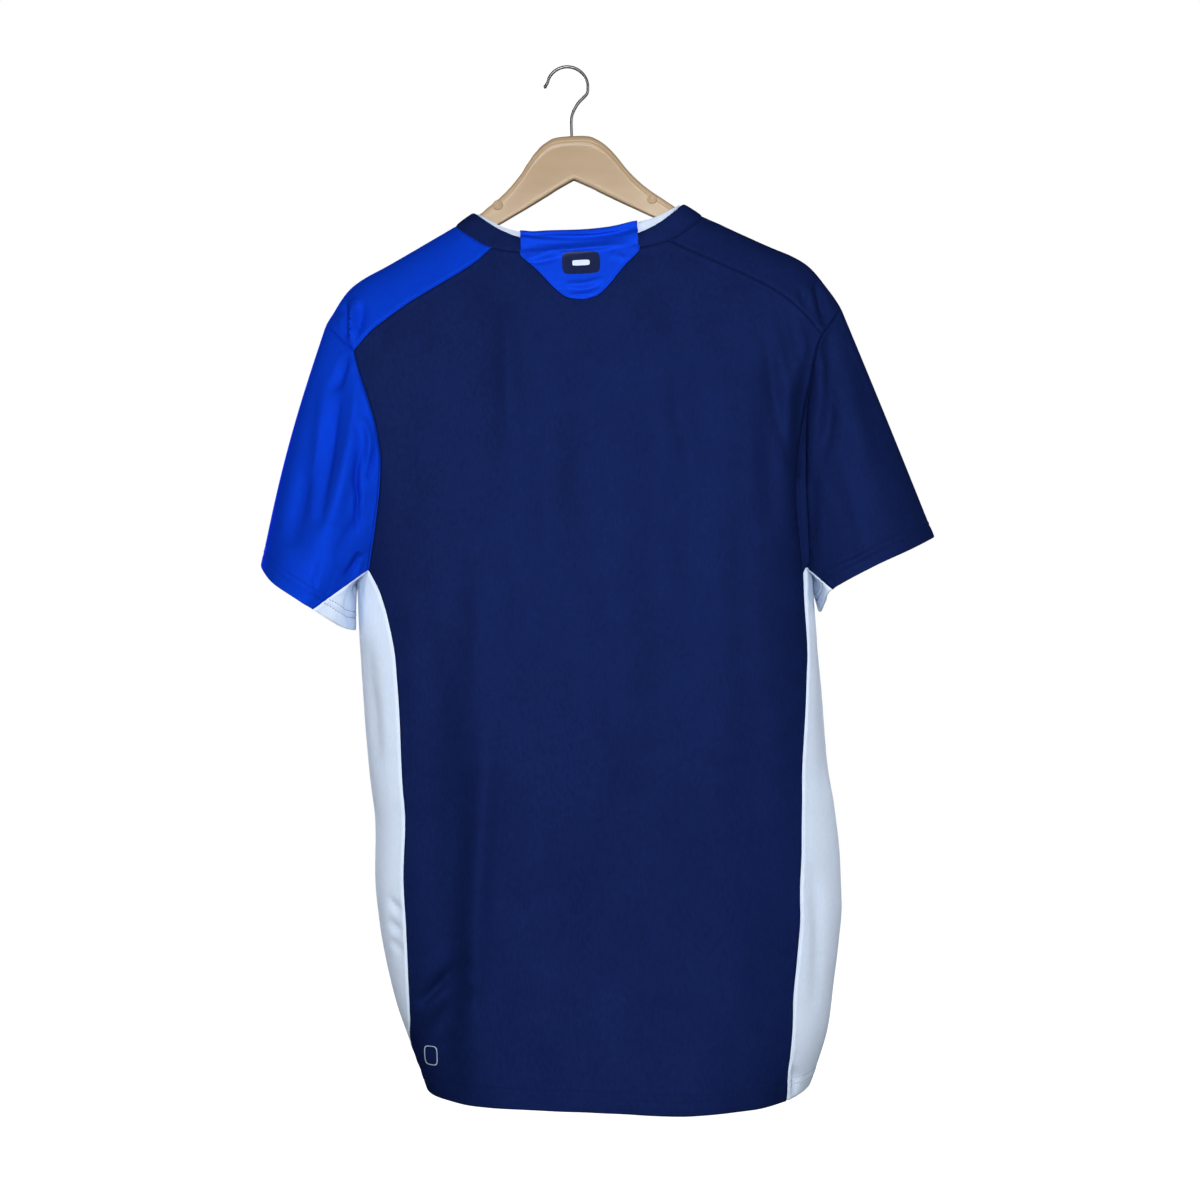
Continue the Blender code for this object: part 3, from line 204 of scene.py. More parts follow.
# Folds of a piece, or "body" for panels and yokes together, on one face: the width at both ends, the height
# outwards and x, z points along the fold
CREASES = {place: table("width0 width1 height points", *rows) for place, rows in {
    ("body", BACK): [    # the first nine are the solids' large folds
        (15, 14, 7.5, [(-75, -330), (-104, -640), (-112, -885)]),
        (17, 17, -8, [(-136, -480), (-142, -800)]),
        (9, 9, -7, [(-112, -790), (-168, -850)]),
        (22, 22, -3, [(-38, -250), (-30, -640)]),
        (24, 24, 3, [(12, -260), (28, -700)]),
        (22, 22, -2.6, [(70, -300), (62, -800)]),
        (20, 20, 3.2, [(128, -280), (118, -620)]),
        (11, 11, -6, [(165, -265), (158, -420)]),
        (18, 18, -3, [(140, -620), (132, -890)]),
        (10, 11, 3.8, [(-66, -470), (-95, -645), (-111, -775), (-119, -872), (-125, -970)]),
        (11, 12, -4.8, [(-88, -500), (-115, -650), (-130, -780), (-138, -872), (-144, -960)]),
        (9, 9, -3.7, [(95, -256), (84, -302), (98, -375)]),
        (6, 6, -4.6, [(176, -219), (181, -253), (184, -288)]),
        (7, 6, -6.1, [(162, -235), (170, -313), (177, -348), (184, -371)]),
        (6, 7, -5.1, [(202, -254), (189, -305), (182, -365)]),
        (4, 3, -5.1, [(-136, -788), (-148, -799), (-160, -809)]),
        (7, 5, -6.9, [(-112, -768), (-139, -788), (-164, -810)]),
        (9, 12, 4.2, [(-61, -210), (-61, -278), (-61, -338)]),
        (16, 20, -3.5, [(-15, -239), (-22, -340), (-35, -467)]),
        (14, 18, -3.7, [(61, -242), (62, -327), (63, -437)]),
        (14, 16, -4.2, [(130, -321), (131, -440), (123, -558)]),
        (6, 4, -4.2, [(-129, -831), (-142, -843), (-155, -855)]),
        (3.8, 4, -5.4, [(183, -214), (187, -241), (191, -271)]),
        (3.4, 3.4, -4.8, [(198, -236), (202, -251), (202, -271)]),
        (8, 8, -11, [(203, -260), (194, -302), (189, -345), (187, -424)])],
    ("body", FRONT): [    # the first six are the solids' large folds
        (18, 18, 6, [(105, -330), (96, -890)]),
        (20, 20, -5.5, [(48, -300), (52, -880)]),
        (24, 24, 4.5, [(-12, -330), (-4, -860)]),
        (20, 20, -4.5, [(-68, -280), (-58, -800)]),
        (20, 20, 5.5, [(-122, -330), (-128, -890)]),
        (16, 16, -4, [(-160, -480), (-150, -800)]),
        (8, 10, -4.5, [(160, -300), (152, -380), (158, -470)]),
        (7, 9, -4.9, [(-150, -290), (-140, -370), (-152, -440)]),
        (9, 13, -3.4, [(20, -260), (14, -340), (22, -430)]),
        (10, 8, -3.8, [(80, -560), (88, -660), (70, -740)]),
        (8, 10, -4.5, [(-96, -640), (-84, -740), (-100, -830)]),
        (6, 4, -4.9, [(140, -790), (152, -812), (168, -826)])],
    ("yoke_left", BACK): [    # drag lines towards the cap
        (4.5, 2.5, 5.6, [(-195, -196), (-196, -219), (-198, -238)]),
        (3.8, 2.2, -4, [(-203, -198), (-202, -220), (-201, -237)]),
        (4, 2.5, -3.5, [(-188, -200), (-189, -217), (-194, -232)]),
        (4, 4, -1.5, [(-216, -211), (-209, -206), (-200, -204)])],
    ("yoke_left", FRONT): [
        (4, 5, -4.6, [(-192, -204), (-194, -220), (-199, -236)])],
    ("yoke_right", BACK): [
        (2.6, 2.2, -2.8, [(195, -202), (197, -213), (198, -222)]),
        (3.8, 2.6, -5.5, [(210, -197), (214, -218), (216, -239)]),
        (3.2, 2.4, 2.5, [(203, -204), (205, -217), (207, -229)])],
    ("yoke_right", FRONT): [
        (4, 5, -4.1, [(203, -208), (206, -222), (208, -240)])],
    ("sleeve_left", BACK): [
        (7, 7, 5.2, [(-194, -267), (-198, -312), (-207, -353), (-218, -396)]),
        (6.5, 7, 4.2, [(-221, -262), (-226, -303), (-231, -342), (-237, -389)]),
        (4.5, 5, -4, [(-209, -280), (-217, -321), (-225, -364), (-230, -398)]),
        (4, 5, -4.2, [(-201, -248), (-207, -261), (-213, -278)]),
        (2.6, 2.4, -5, [(-192, -329), (-196, -354), (-195, -374), (-198, -401)]),
        (4, 3, 4, [(-188, -302), (-183, -323), (-186, -351)]),
        (2.6, 2.4, -3.8, [(-179, -330), (-182, -341), (-186, -356)]),
        (3.2, 3, -4.5, [(-195, -419), (-202, -432), (-210, -441)]),
        (8, 8, -3, [(-242, -346), (-250, -380), (-256, -412)]),
        (2.4, 2.4, -2, [(-231, -428), (-234, -439), (-234, -450)])],
    ("sleeve_left", FRONT): [
        (6, 8, -5.9, [(-204, -262), (-218, -310), (-236, -380)]),
        (4, 5, -5.3, [(-198, -330), (-206, -390), (-214, -440)]),
        (8, 8, 3.6, [(-232, -300), (-244, -350), (-252, -400)])],
    ("sleeve_right", BACK): [
        (6.5, 7, -5.2, [(218, -236), (218, -277), (214, -321), (204, -360)]),
        (6, 6, 3.4, [(212, -261), (207, -303), (201, -348)]),
        (9, 10, 3.1, [(231, -269), (240, -322), (247, -366)]),
        (8, 9, -3.1, [(218, -372), (224, -408), (234, -443)]),
        (5, 4, -3.4, [(200, -363), (197, -407), (196, -442)])],
    ("sleeve_right", FRONT): [
        (6, 8, -5.1, [(222, -268), (232, -320), (246, -386)]),
        (4, 5, -4.3, [(204, -340), (208, -400), (212, -440)])],
    ("gusset_left", BACK): [
        (2.5, 2.5, -4.2, [(-198, -438), (-204, -451), (-209, -464), (-209, -482)]),
        (4, 4, 2.1, [(-214, -457), (-220, -469), (-218, -480)])],
    ("gusset_right", BACK): [
        (3, 3, -2.5, [(197, -446), (200, -458), (203, -472)])],
    ("side_panel_left", BACK): [
        (3, 3, -2.7, [(-185, -717), (-177, -726), (-170, -729)]),
        (3, 3, -2.5, [(-185, -737), (-178, -744), (-172, -748)]),
        (3, 3, -2.2, [(-184, -754), (-177, -761), (-171, -763)]),
        (7, 7, -3.1, [(-195, -495), (-192, -547), (-188, -608)])],
    ("side_panel_right", BACK): [
        (6, 7, -2.5, [(200, -511), (200, -581), (199, -651)]),
        (7, 7, -3.1, [(183, -701), (185, -770), (178, -830)]),
        (3.5, 3.5, -4.1, [(155, -872), (160, -884), (157, -898)])],
    ("neck_tab", BACK): [    # a roll over the collar's top, a valley under it, slack strips and the lower end
        (2.8, 2.8, 3.2, [(-50, -148.5), (5, -149.5), (56, -145.5)]),
        (3.2, 3.2, -1.3, [(-44, -157), (5, -156), (50, -152.5)]),
        (3, 3, 2.6, [(-46, -164.5), (5, -163.5), (52, -160.5)]),
        (2.6, 3.5, 1.7, [(-48, -171), (-26, -167.5), (-6, -162.5)]),
        (2.2, 2.6, -0.9, [(-46, -176), (-30, -173), (-12, -170)]),
        (2.4, 2.4, -1.3, [(-8, -199), (8, -199.5), (22, -196)]),
        (2.6, 2.6, 1.3, [(-10, -194), (8, -194.5), (24, -190.5)]),
        (1.8, 1.8, 0.8, [(-4, -204.2), (5, -204.6), (14, -203.6)]),
        (4, 3, 0.9, [(30, -168), (40, -172), (46, -175)])]}.items()}
# Slow unevenness of the hanging cloth: waves across x and z, their phase and height
WAVES = table(
    "across down phase height", (61, 430, 0.3, 0.55), (-87, 290, 1.9, 0.75), (43, -540, 4.1, 0.3),
    (150, 170, 2.2, 0.8), (33, 260, 5.2, 0.2))
WAVE_SHARE = 0.8

SLEEVE_FOLDS = {
    "left": table("around0 around1 start end width height", (0.36, 0.3, 0.05, 0.85, 0.045, -6.5),
        (0.25, 0.2, 0.15, 0.8, 0.045, 4.5), (0.1, 0.12, 0.05, 0.6, 0.035, -4.5),
        (0.66, 0.72, 0.1, 0.85, 0.05, -6)),
    "right": table("around0 around1 start end width height", (0.3, 0.22, 0.05, 0.7, 0.05, 3),
        (0.12, 0.1, 0.05, 0.75, 0.04, -4.5), (0.7, 0.76, 0.1, 0.85, 0.05, -6),
        (0.6, 0.62, 0.1, 0.75, 0.045, 4))}

# ---------------------------------------------------------------- curves

def smooth(points, level_ends=False):
    """A function through x, y points without overshooting between them."""
    x, y = np.array(sorted(points), float).T
    step = np.diff(x)
    slope = np.diff(y) / step
    tangent = np.zeros_like(y)
    if not level_ends:
        tangent[0], tangent[-1] = slope[0], slope[-1]
    before, after = slope[:-1], slope[1:]
    turning = before * after <= 0
    weight_a, weight_b = 2 * step[1:] + step[:-1], step[1:] + 2 * step[:-1]
    safe_before, safe_after = np.where(turning, 1, before), np.where(turning, 1, after)
    mean = (weight_a + weight_b) / (weight_a / safe_before + weight_b / safe_after)
    tangent[1:-1] = np.where(turning, 0, mean)

    def at(where):
        where = np.clip(where, x[0], x[-1])
        i = np.clip(np.searchsorted(x, where) - 1, 0, len(step) - 1)
        t = (where - x[i]) / step[i]
        a, b = y[i], y[i + 1]
        return (a * (1 + 2 * t) * (1 - t) ** 2 + b * t * t * (3 - 2 * t)
                + step[i] * t * (1 - t) * ((1 - t) * tangent[i] - t * tangent[i + 1]))
    return at


def column(rows, key, value):
    """Two named columns of a table as points."""
    return [(getattr(row, key), getattr(row, value)) for row in rows]


def catmull_rom(a, b, c, d, t):
    """Points between b and c at t from 0 to 1."""
    return 0.5 * (2 * b + (c - a) * t + (2 * a - 5 * b + 4 * c - d) * t ** 2
                  + (3 * b - 3 * c + d - a) * t ** 3)


def closed_curve(points, where):
    """Points of a closed Catmull-Rom curve; where counts control points, and may be fractional."""
    points = np.array(points, float)
    first = np.floor(where).astype(int)
    around = (points[(first + k) % len(points)] for k in (-1, 0, 1, 2))
    return catmull_rom(*around, (where - first)[:, None])


def open_curve(points, shares):
    """Points of a Catmull-Rom curve through points, at even shares of its control points."""
    points = np.array(points, float)
    padded = np.concatenate([[2 * points[0] - points[1]], points, [2 * points[-1] - points[-2]]])
    where = np.asarray(shares) * (len(points) - 1)
    first = np.clip(np.floor(where).astype(int), 0, len(points) - 2)
    return catmull_rom(*(padded[first + k] for k in range(4)), (where - first)[:, None])


def travel(points):
    """Distance run at each point of a line."""
    return np.r_[0, np.cumsum(np.linalg.norm(np.diff(points, axis=0), axis=1))]


def along(where, run, values):
    """Values at distances along a line, from those at its points."""
    return np.stack([np.interp(where, run, line) for line in values.T], axis=-1)


def polyline(points, shares):
    """Points at given shares of a polyline's length."""
    points = np.array(points, float)
    run = travel(points)
    return along(np.array(shares) * run[-1], run, points)


def shares(count, start=False, end=False, length=200.0):
    """Shares from 0 to 1, closer together within a few millimetres of the ends that are named."""
    near = [0.5, 1.0, 1.6, 2.4, 3.4]
    even = np.linspace(0, 1, count + 1)
    low = [d / length for d in near] if start else []
    high = [1 - d / length for d in near] if end else []
    margin = 1.3 * near[-1] / length
    keep = even[(even > (margin if start else 0)) & (even < (1 - margin if end else 1))]
    return np.unique(np.r_[0.0, low, keep, high, 1.0])


def unit(vectors):
    return vectors / np.maximum(np.linalg.norm(vectors, axis=-1, keepdims=True), 1e-12)


def bump(distance, width):
    """A smooth hill, 1 high at distance 0."""
    return np.exp(-(distance / width) ** 2)


def relieved(relief, away):
    """Height of a relief at distances from its seam or edge."""
    return relief.height * bump(away - relief.away, relief.width)


def turns(count):
    """Even angles round a circle."""
    return 2 * math.pi * np.arange(count) / count


# ---------------------------------------------------------------- hanger and shoulder line

def from_hanger(side, h, z):
    """World x and z of a point given in the hanger's own frame; side is -1 left, +1 right."""
    cos, sin = math.cos(HANGER_TILT), math.sin(HANGER_TILT)
    out, rise = side * np.asarray(h, float), np.asarray(z, float) - HUB_Z
    return HUB_X + out * cos - rise * sin, HUB_Z + rise * cos + out * sin


shoulder = [from_hanger(side, rest.h, rest.z) for side in SIDES for rest in SHOULDER_LINE]
ridge_height = smooth([(float(x), float(z)) for x, z in shoulder])


def cap_x(side):
    """Where the cap seam meets the shoulder line."""
    return float(from_hanger(side, SHOULDER_LINE[-1].h, SHOULDER_LINE[-1].z)[0]) - side * CAP_IN[side]


def ridge_steepness(x):
    """Cosine of the shoulder line's slope at x."""
    fall = ridge_height(x + RIDGE_REACH) - ridge_height(x - RIDGE_REACH)
    return np.cos(np.arctan(fall / (2 * RIDGE_REACH)))


# ---------------------------------------------------------------- body surface

side_left, side_right = smooth(column(SECTIONS, "z", "left")), smooth(column(SECTIONS, "z", "right"))
stand_off = {BACK: smooth(column(SECTIONS, "z", "back")), FRONT: smooth(column(SECTIONS, "z", "front"))}
hem_height = smooth(column(BODY_HEM, "x", "z"))


def crease_height(piece, face, x, z):
    """Outward height of the folds of one piece on one face, at x, z."""
    x, z = np.broadcast_arrays(x, z)
    total = np.zeros(x.shape)
    for crease in CREASES.get((piece, face), ()):
        line = open_curve(crease.points, np.linspace(0, 1, 6 * len(crease.points) - 5))
        margin = 3 * max(crease.width0, crease.width1)
        (left, low), (right, high) = line.min(axis=0) - margin, line.max(axis=0) + margin
        near = (x > left) & (x < right) & (z > low) & (z < high)
        if not near.any():
            continue
        place = np.stack([x[near], z[near]], axis=-1)
        lengths = np.linalg.norm(np.diff(line, axis=0), axis=1)
        run = np.r_[0, np.cumsum(lengths)]
        best, share = np.full(len(place), np.inf), np.zeros(len(place))
        for start, end, length, done in zip(line, line[1:], lengths, run):
            forward = (end - start) / length
            t = np.clip((place - start) @ forward, 0, length)
            away = np.sum((place - start - t[:, None] * forward) ** 2, axis=1)
            closer = away < best
            best = np.where(closer, away, best)
            share = np.where(closer, (done + t) / run[-1], share)
        fade = np.sin(np.pi * share) ** 0.7
        width = crease.width0 + (crease.width1 - crease.width0) * share
        total[near] += crease.height * fade * np.exp(-best / width ** 2)
    return total


def wave_height(face, x, z):
    """Slow unevenness of the cloth."""
    return sum(wave.height * np.sin(2 * np.pi * (x / wave.across + z / wave.down) + wave.phase * (2 + face))
               for wave in WAVES)


def depth(face, x, z):
    """How far the back or front cloth stands off the middle plane at x, z."""
    left, right = side_left(z), side_right(z)
    across = np.clip(np.abs(x - (left + right) / 2) / ((right - left) / 2), 0, 1)
    rounding = (1 - across ** SQUARENESS) ** (1 / SQUARENESS)
    full = stand_off[face](z) * rounding
    drop = np.maximum(ridge_height(x) - z, 0) * ridge_steepness(x)
    near = np.sqrt((DRAPE_SLOPE * drop) ** 2 + 2 * RIDGE_RADIUS * drop)
    tiny = 1e-9
    blended = full * near / ((full + tiny) ** BLEND_POWER + (near + tiny) ** BLEND_POWER) ** (1 / BLEND_POWER)
    share = np.clip((drop - FOLDS_START) / (FOLDS_FULL - FOLDS_START), 0, 1) * rounding
    return blended + share * (crease_height("body", face, x, z) + WAVE_SHARE * wave_height(face, x, z))


def on_sheet(face, flat):
    """Points of the back or front sheet over flat x, z points."""
    flat = np.asarray(flat, float)
    x, z = flat[..., 0], flat[..., 1]
    return np.stack([x, face * depth(face, x, z), z], axis=-1)


SECTION_POINTS = 960
LEVELS = np.arange(-920.0, -425.0, 2.5)


def section_tables():
    """Sections at even heights, each as points at even shares of its length, with length and side lines."""
    angle = np.linspace(0, 2 * math.pi, SECTION_POINTS + 1)
    z = LEVELS[:, None]
    left, right = side_left(z), side_right(z)
    bulge = np.sign(np.sin(angle)) * np.abs(np.sin(angle)) ** (2 / SQUARENESS)
    x = (left + right) / 2 - (right - left) / 2 * bulge
    back = (angle > math.pi / 2) & (angle < 3 * math.pi / 2)
    y = np.where(back, -depth(BACK, x, z), depth(FRONT, x, z))
    run = np.cumsum(np.hypot(np.diff(x, axis=1), np.diff(y, axis=1)), axis=1)
    run = np.concatenate([np.zeros((len(LEVELS), 1)), run], axis=1)
    even = np.linspace(0, 1, SECTION_POINTS + 1)
    curves = [(np.interp(even * r[-1], r, a), np.interp(even * r[-1], r, b)) for r, a, b in zip(run, x, y)]
    quarter = SECTION_POINTS // 4
    return np.array(curves), run[:, -1], run[:, quarter], run[:, 3 * quarter]


SECTION_XY, SECTION_LENGTH, LEFT_LINE, RIGHT_LINE = section_tables()


def at_level(values, z):
    return np.interp(z, LEVELS, values)


def on_section(z, distance):
    """Points of the sections at heights z and distances along the cloth from the front middle."""
    level = np.clip((z - LEVELS[0]) / (LEVELS[1] - LEVELS[0]), 0, len(LEVELS) - 1.001)
    share = (distance / at_level(SECTION_LENGTH, z)) % 1 * SECTION_POINTS
    j, i = np.floor(level).astype(int), np.minimum(np.floor(share).astype(int), SECTION_POINTS - 1)
    s, t = level - j, share - i
    point = [(1 - s) * ((1 - t) * SECTION_XY[j, k, i] + t * SECTION_XY[j, k, i + 1])
             + s * ((1 - t) * SECTION_XY[j + 1, k, i] + t * SECTION_XY[j + 1, k, i + 1]) for k in (0, 1)]
    return np.stack([point[0], point[1], z * np.ones_like(distance)], axis=-1)


seam_reach = {field: smooth(column(SIDE_SEAMS, "z", field)) for field in SIDE_SEAMS[0]._fields[1:]}


def seam_distances(z):
    """Distances round the section: left front, left back, right back, right front, left front again."""
    left, right = at_level(LEFT_LINE, z), at_level(RIGHT_LINE, z)
    left_front = left - seam_reach["left_front"](z)
    return (left_front, left + seam_reach["left_back"](z), right - seam_reach["right_back"](z),
            right + seam_reach["right_front"](z), left_front + at_level(SECTION_LENGTH, z))


PANELS = ("side_panel_left", "back_panel", "side_panel_right", "front_panel")


def panel_grid(name, across, rises):
    """Grid of one body panel from the hem (row 0) up to the underarm level (last row)."""
    span = PANELS.index(name)
    left, right = JUNCTION_Z.values()
    start_z, end_z = ((left, left), (left, right), (right, right), (right, left))[span]
    dip = UNDERARM_DIP if start_z == end_z else 0
    share = across[None, :]

    def between_seams(z):
        ends = seam_distances(z)
        return on_section(z, ends[span] * (1 - share) + ends[span + 1] * share)

    top_z = start_z + (end_z - start_z) * share - dip * np.sin(math.pi * share)
    hem_z = hem_height(between_seams(np.full(share.shape, HEM_MIDDLE_Z))[..., 0])
    return between_seams(hem_z + (top_z - hem_z) * rises[:, None])


# ---------------------------------------------------------------- neck, yokes and armholes

NECK_COLUMN = {field: smooth(list(enumerate(getattr(row, field) for row in NECK)), not field.endswith("_h"))
               for field in NECK[0]._fields}


def neck_edge(side, first, last, steps, edge):
    """Points between two rows of NECK on one side; edge is "seam" or "top"."""
    where = first + (last - first) * np.asarray(steps, float)
    x = NECK_X + side * NECK_COLUMN[edge + "_h"](where)
    if edge == "seam":
        return np.stack([x, NECK_COLUMN["seam_z"](where)], axis=-1)
    face = BACK if max(first, last) <= NECK_POINT else FRONT
    turn = np.clip(NECK_COLUMN["top_h"](where) / NECK[NECK_POINT].top_h, 0, 1) ** NECK_TOP_SQUARENESS
    y = face * NECK_TOP_DEPTH[face] * (1 - turn) ** (1 / NECK_TOP_SQUARENESS)
    return np.stack([x, y, NECK_COLUMN["top_z"](where)], axis=-1), NECK_COLUMN["rise"](where)


def toward_ridge(even):
    """Shares that crowd towards a ridge, so that points are even over its round top."""
    return 1 - (1 - even) ** 2


def seam_points(side, face, steps):
    """Flat points of a yoke seam from the collar out to the armhole."""
    points = column(YOKE_SEAM[face], SIDES[side] + "_x", SIDES[side] + "_z")
    return polyline(open_curve(points, np.linspace(0, 1, SEAM_STEPS)), steps)


LONG_SHARES = shares(LONG, True, True, 150)
HALF_SHARES = np.unique(np.r_[0, 0.006, 0.012, 0.019, np.linspace(0, 1, HALF + 1)[1:]])
UP_SHARES = toward_ridge(HALF_SHARES)
BODY_RISES = shares(BODY_ROWS, True, False, 455)
UPPER_SHARES = shares(UPPER_ROWS, False, True, 200)
SIDE_SHARES = shares(SIDE_COLUMNS, True, True, 100)
ALONG_SHARES = shares(SLEEVE_ROWS, True, True, 230)


def filled(bottom, top, start, end, across, rise):
    """Flat grid between four edges."""
    across, rise = across[None, :, None], rise[:, None, None]
    ruled = ((1 - rise) * bottom[None] + rise * top[None]
             + (1 - across) * start[:, None] + across * end[:, None])
    corners = ((1 - rise) * ((1 - across) * bottom[0] + across * bottom[-1])
               + rise * ((1 - across) * top[0] + across * top[-1]))
    return ruled - corners


def yoke_half(side, face):
    """Half a yoke, seam (row 0) to shoulder line (last row), collar to armhole."""
    seam = seam_points(side, face, LONG_SHARES)
    fine_x = np.linspace(NECK_X + side * NECK[NECK_POINT].seam_h, cap_x(side), RIDGE_STEPS)
    ridge = polyline(np.stack([fine_x, ridge_height(fine_x)], axis=-1), LONG_SHARES)
    at_neck = neck_edge(side, YOKE_ROW[face], NECK_POINT, UP_SHARES, "seam")
    at_neck[0], at_neck[-1] = seam[0], ridge[0]
    at_cap = seam[-1] + (ridge[-1] - seam[-1]) * UP_SHARES[:, None]
    return on_sheet(face, filled(seam, ridge, at_neck, at_cap, LONG_SHARES, UP_SHARES))


def yoke_grid(side):
    """Yoke from its back seam over the shoulder to its front seam; facing outwards."""
    back, front = yoke_half(side, BACK), yoke_half(side, FRONT)
    grid = np.concatenate([back, front[-2::-1]])
    return grid if side > 0 else grid[:, ::-1]


def armhole_edge(side, face, low_x):
    """Flat points of an armhole seam from the underarm point at low_x up to the yoke."""
    rows, low = ARMHOLE[SIDES[side]], JUNCTION_Z[side]
    z = low + (rows[0].z - low) * UPPER_SHARES
    x = smooth(column(rows, "z", "x"))(z)
    x = x + (low_x - x[0]) * (1 - UPPER_SHARES) ** 3
    if face == FRONT:
        x = x - side * FRONT_SCOOP * np.sin(math.pi * UPPER_SHARES)
    return np.stack([x, z], axis=-1)


def top_shares(face):
    """Shares of the collar's stretch from a yoke to the middle."""
    return np.linspace(0, 1, NECK_STEPS[face] // 2 + 1)


def columns(face):
    """Column shares of the back or front: yoke seam, collar, yoke seam, in step with the top edge."""
    neck = NECK_STEPS[face]
    total = 2 * LONG + neck
    out = (1 - LONG_SHARES[::-1]) * LONG / total
    middle = LONG / total + np.linspace(0, 1, neck + 1)[1:-1] * neck / total
    return np.concatenate([out, middle, 1 - out[::-1]])


def upper_grid(face, low_row):
    """Grid of the back or front between the underarm row, the armholes, the yokes and the collar."""
    first, last = face, -face
    yoke, middle, steps = YOKE_ROW[face], MIDDLE_ROW[face], top_shares(face)
    down, up = neck_edge(first, yoke, middle, steps, "seam"), neck_edge(last, middle, yoke, steps, "seam")
    inwards, outwards = seam_points(first, face, LONG_SHARES)[::-1], seam_points(last, face, LONG_SHARES)
    down[0], up[-1] = inwards[-1], outwards[0]
    top = np.concatenate([inwards, down[1:], up[1:], outwards[1:]])
    bottom = low_row[:, [0, 2]]
    start, end = armhole_edge(first, face, bottom[0, 0]), armhole_edge(last, face, bottom[-1, 0])
    start[0], end[0] = bottom[0], bottom[-1]
    start[-1], end[-1] = top[0], top[-1]
    grid = on_sheet(face, filled(bottom, top, start, end, columns(face), UPPER_SHARES))
    grid[0] = low_row
    return grid


def body_grids():
    """Outer surfaces of panels and yokes, facing outwards."""
    grids = {name: panel_grid(name, SIDE_SHARES, BODY_RISES) for name in PANELS[::2]}
    for face, name in ((BACK, "back_panel"), (FRONT, "front_panel")):
        low = panel_grid(name, columns(face), BODY_RISES)
        grids[name] = np.concatenate([low, upper_grid(face, low[-1])[1:]])
    grids["yoke_left"], grids["yoke_right"] = yoke_grid(-1), yoke_grid(1)
    return grids


# ---------------------------------------------------------------- sleeves

def armhole_loop(side, grids):
    """Sleeve edge from the back underarm point over the cap to the front one, then the edge underneath."""
    back, front = (grids[name][len(BODY_RISES) - 1:] for name in ("back_panel", "front_panel"))
    yoke, panel = grids["yoke_" + SIDES[side]], grids["side_panel_" + SIDES[side]][-1]
    if side < 0:
        back_edge, cap, front_edge, under = back[:, 0], yoke[:, 0], front[::-1, -1], panel
    else:
        back_edge, cap, front_edge, under = back[:, -1], yoke[:, -1], front[::-1, 0], panel[::-1]
    return np.concatenate([back_edge, cap[1:], front_edge[1:]]), under


def loop_shares():
    """Place of each loop point between the back underarm point, 0, the cap, 0.5, and the front one, 1."""
    total = CAD_UPPER_ROWS + CAD_YOKE_HALF
    half = np.r_[UPPER_SHARES * CAD_UPPER_ROWS, CAD_UPPER_ROWS + HALF_SHARES[1:] * CAD_YOKE_HALF] / total / 2
    return np.r_[half, 1 - half[-2::-1]]


def cuff_curve(side, around):
    """Cuff points for the sleeve and for the gusset, in step with the armhole loop."""
    points = CUFF[SIDES[side]]
    under = len(points) - CUFF_CORNER + (2 * CUFF_CORNER - len(points)) * SIDE_SHARES
    return closed_curve(points, CUFF_CORNER * (1 - 2 * around)), closed_curve(points, under)


def sleeve_fold_height(name, around, run):
    """Outward height of a sleeve's large folds."""
    around, run = around[None, :], run[:, None]
    height = np.zeros((run.size, around.size))
    for fold in SLEEVE_FOLDS[name]:
        share = np.clip((run - fold.start) / (fold.end - fold.start), 0, 1)
        centre = fold.around0 + (fold.around1 - fold.around0) * share
        height += fold.height * np.sin(math.pi * share) * bump(around - centre, fold.width)
    return height


def sleeve_grids(side, grids):
    """Sleeve and gusset, armhole (row 0) to cuff (last row), facing outwards."""
    name = SIDES[side]
    over, under = armhole_loop(side, grids)
    around = loop_shares()
    cuff_over, cuff_under = cuff_curve(side, around)
    run = ALONG_SHARES[:, None, None]
    sleeve = (1 - run) * over[None] + run * cuff_over[None]
    gusset = (1 - run) * under[None] + run * cuff_under[None]
    crown = bump(around[None, :] - 0.5, CROWN_WIDTH) * np.sin(math.pi * run[:, :, 0])
    sleeve[..., 0] += side * TOP_FOLD_BOW[name] * crown
    outward = unit(sleeve - sleeve.mean(axis=1, keepdims=True))
    sleeve += outward * sleeve_fold_height(name, around, ALONG_SHARES)[..., None]
    sleeve[:, 0], sleeve[:, -1] = gusset[:, -1], gusset[:, 0]
    return (sleeve, gusset) if side < 0 else (sleeve[:, ::-1], gusset[:, ::-1])


# ---------------------------------------------------------------- cloth shells

def grid_normals(grid):
    """Outward unit normals of a grid's points."""
    return unit(np.cross(np.gradient(grid, axis=1), np.gradient(grid, axis=0)))


def edge_groups(grids):
    """Border points of all grids, grouped where pieces are sewn together."""
    points = [(name, j, i) for name, grid in grids.items() for j in range(grid.shape[0])
              for i in range(grid.shape[1]) if j in (0, grid.shape[0] - 1) or i in (0, grid.shape[1] - 1)]
    tree = KDTree(len(points))
    for k, (name, j, i) in enumerate(points):
        tree.insert(Vector(grids[name][j, i]), k)
    tree.balance()
    groups = {}
    for name, j, i in points:
        near = sorted(k for _, k, _ in tree.find_range(Vector(grids[name][j, i]), 0.02))
        if len(near) > 1:
            groups[near[0]] = [points[k] for k in near]
    return list(groups.values())


def weld_normals(normals, groups, keep=0.5):
    """Average the normals of sewn points, unless the pieces meet at a sharp crease."""
    for group in groups:
        own = [normals[name][j, i].copy() for name, j, i in group]
        for (name, j, i), mine in zip(group, own):
            total = sum(other for other in own if other @ mine > keep)
            normals[name][j, i] = total / np.linalg.norm(total)


def weld_points(points, groups):
    """Give sewn points one place."""
    for group in groups:
        place = sum(points[name][j, i] for name, j, i in group) / len(group)
        for name, j, i in group:
            points[name][j, i] = place


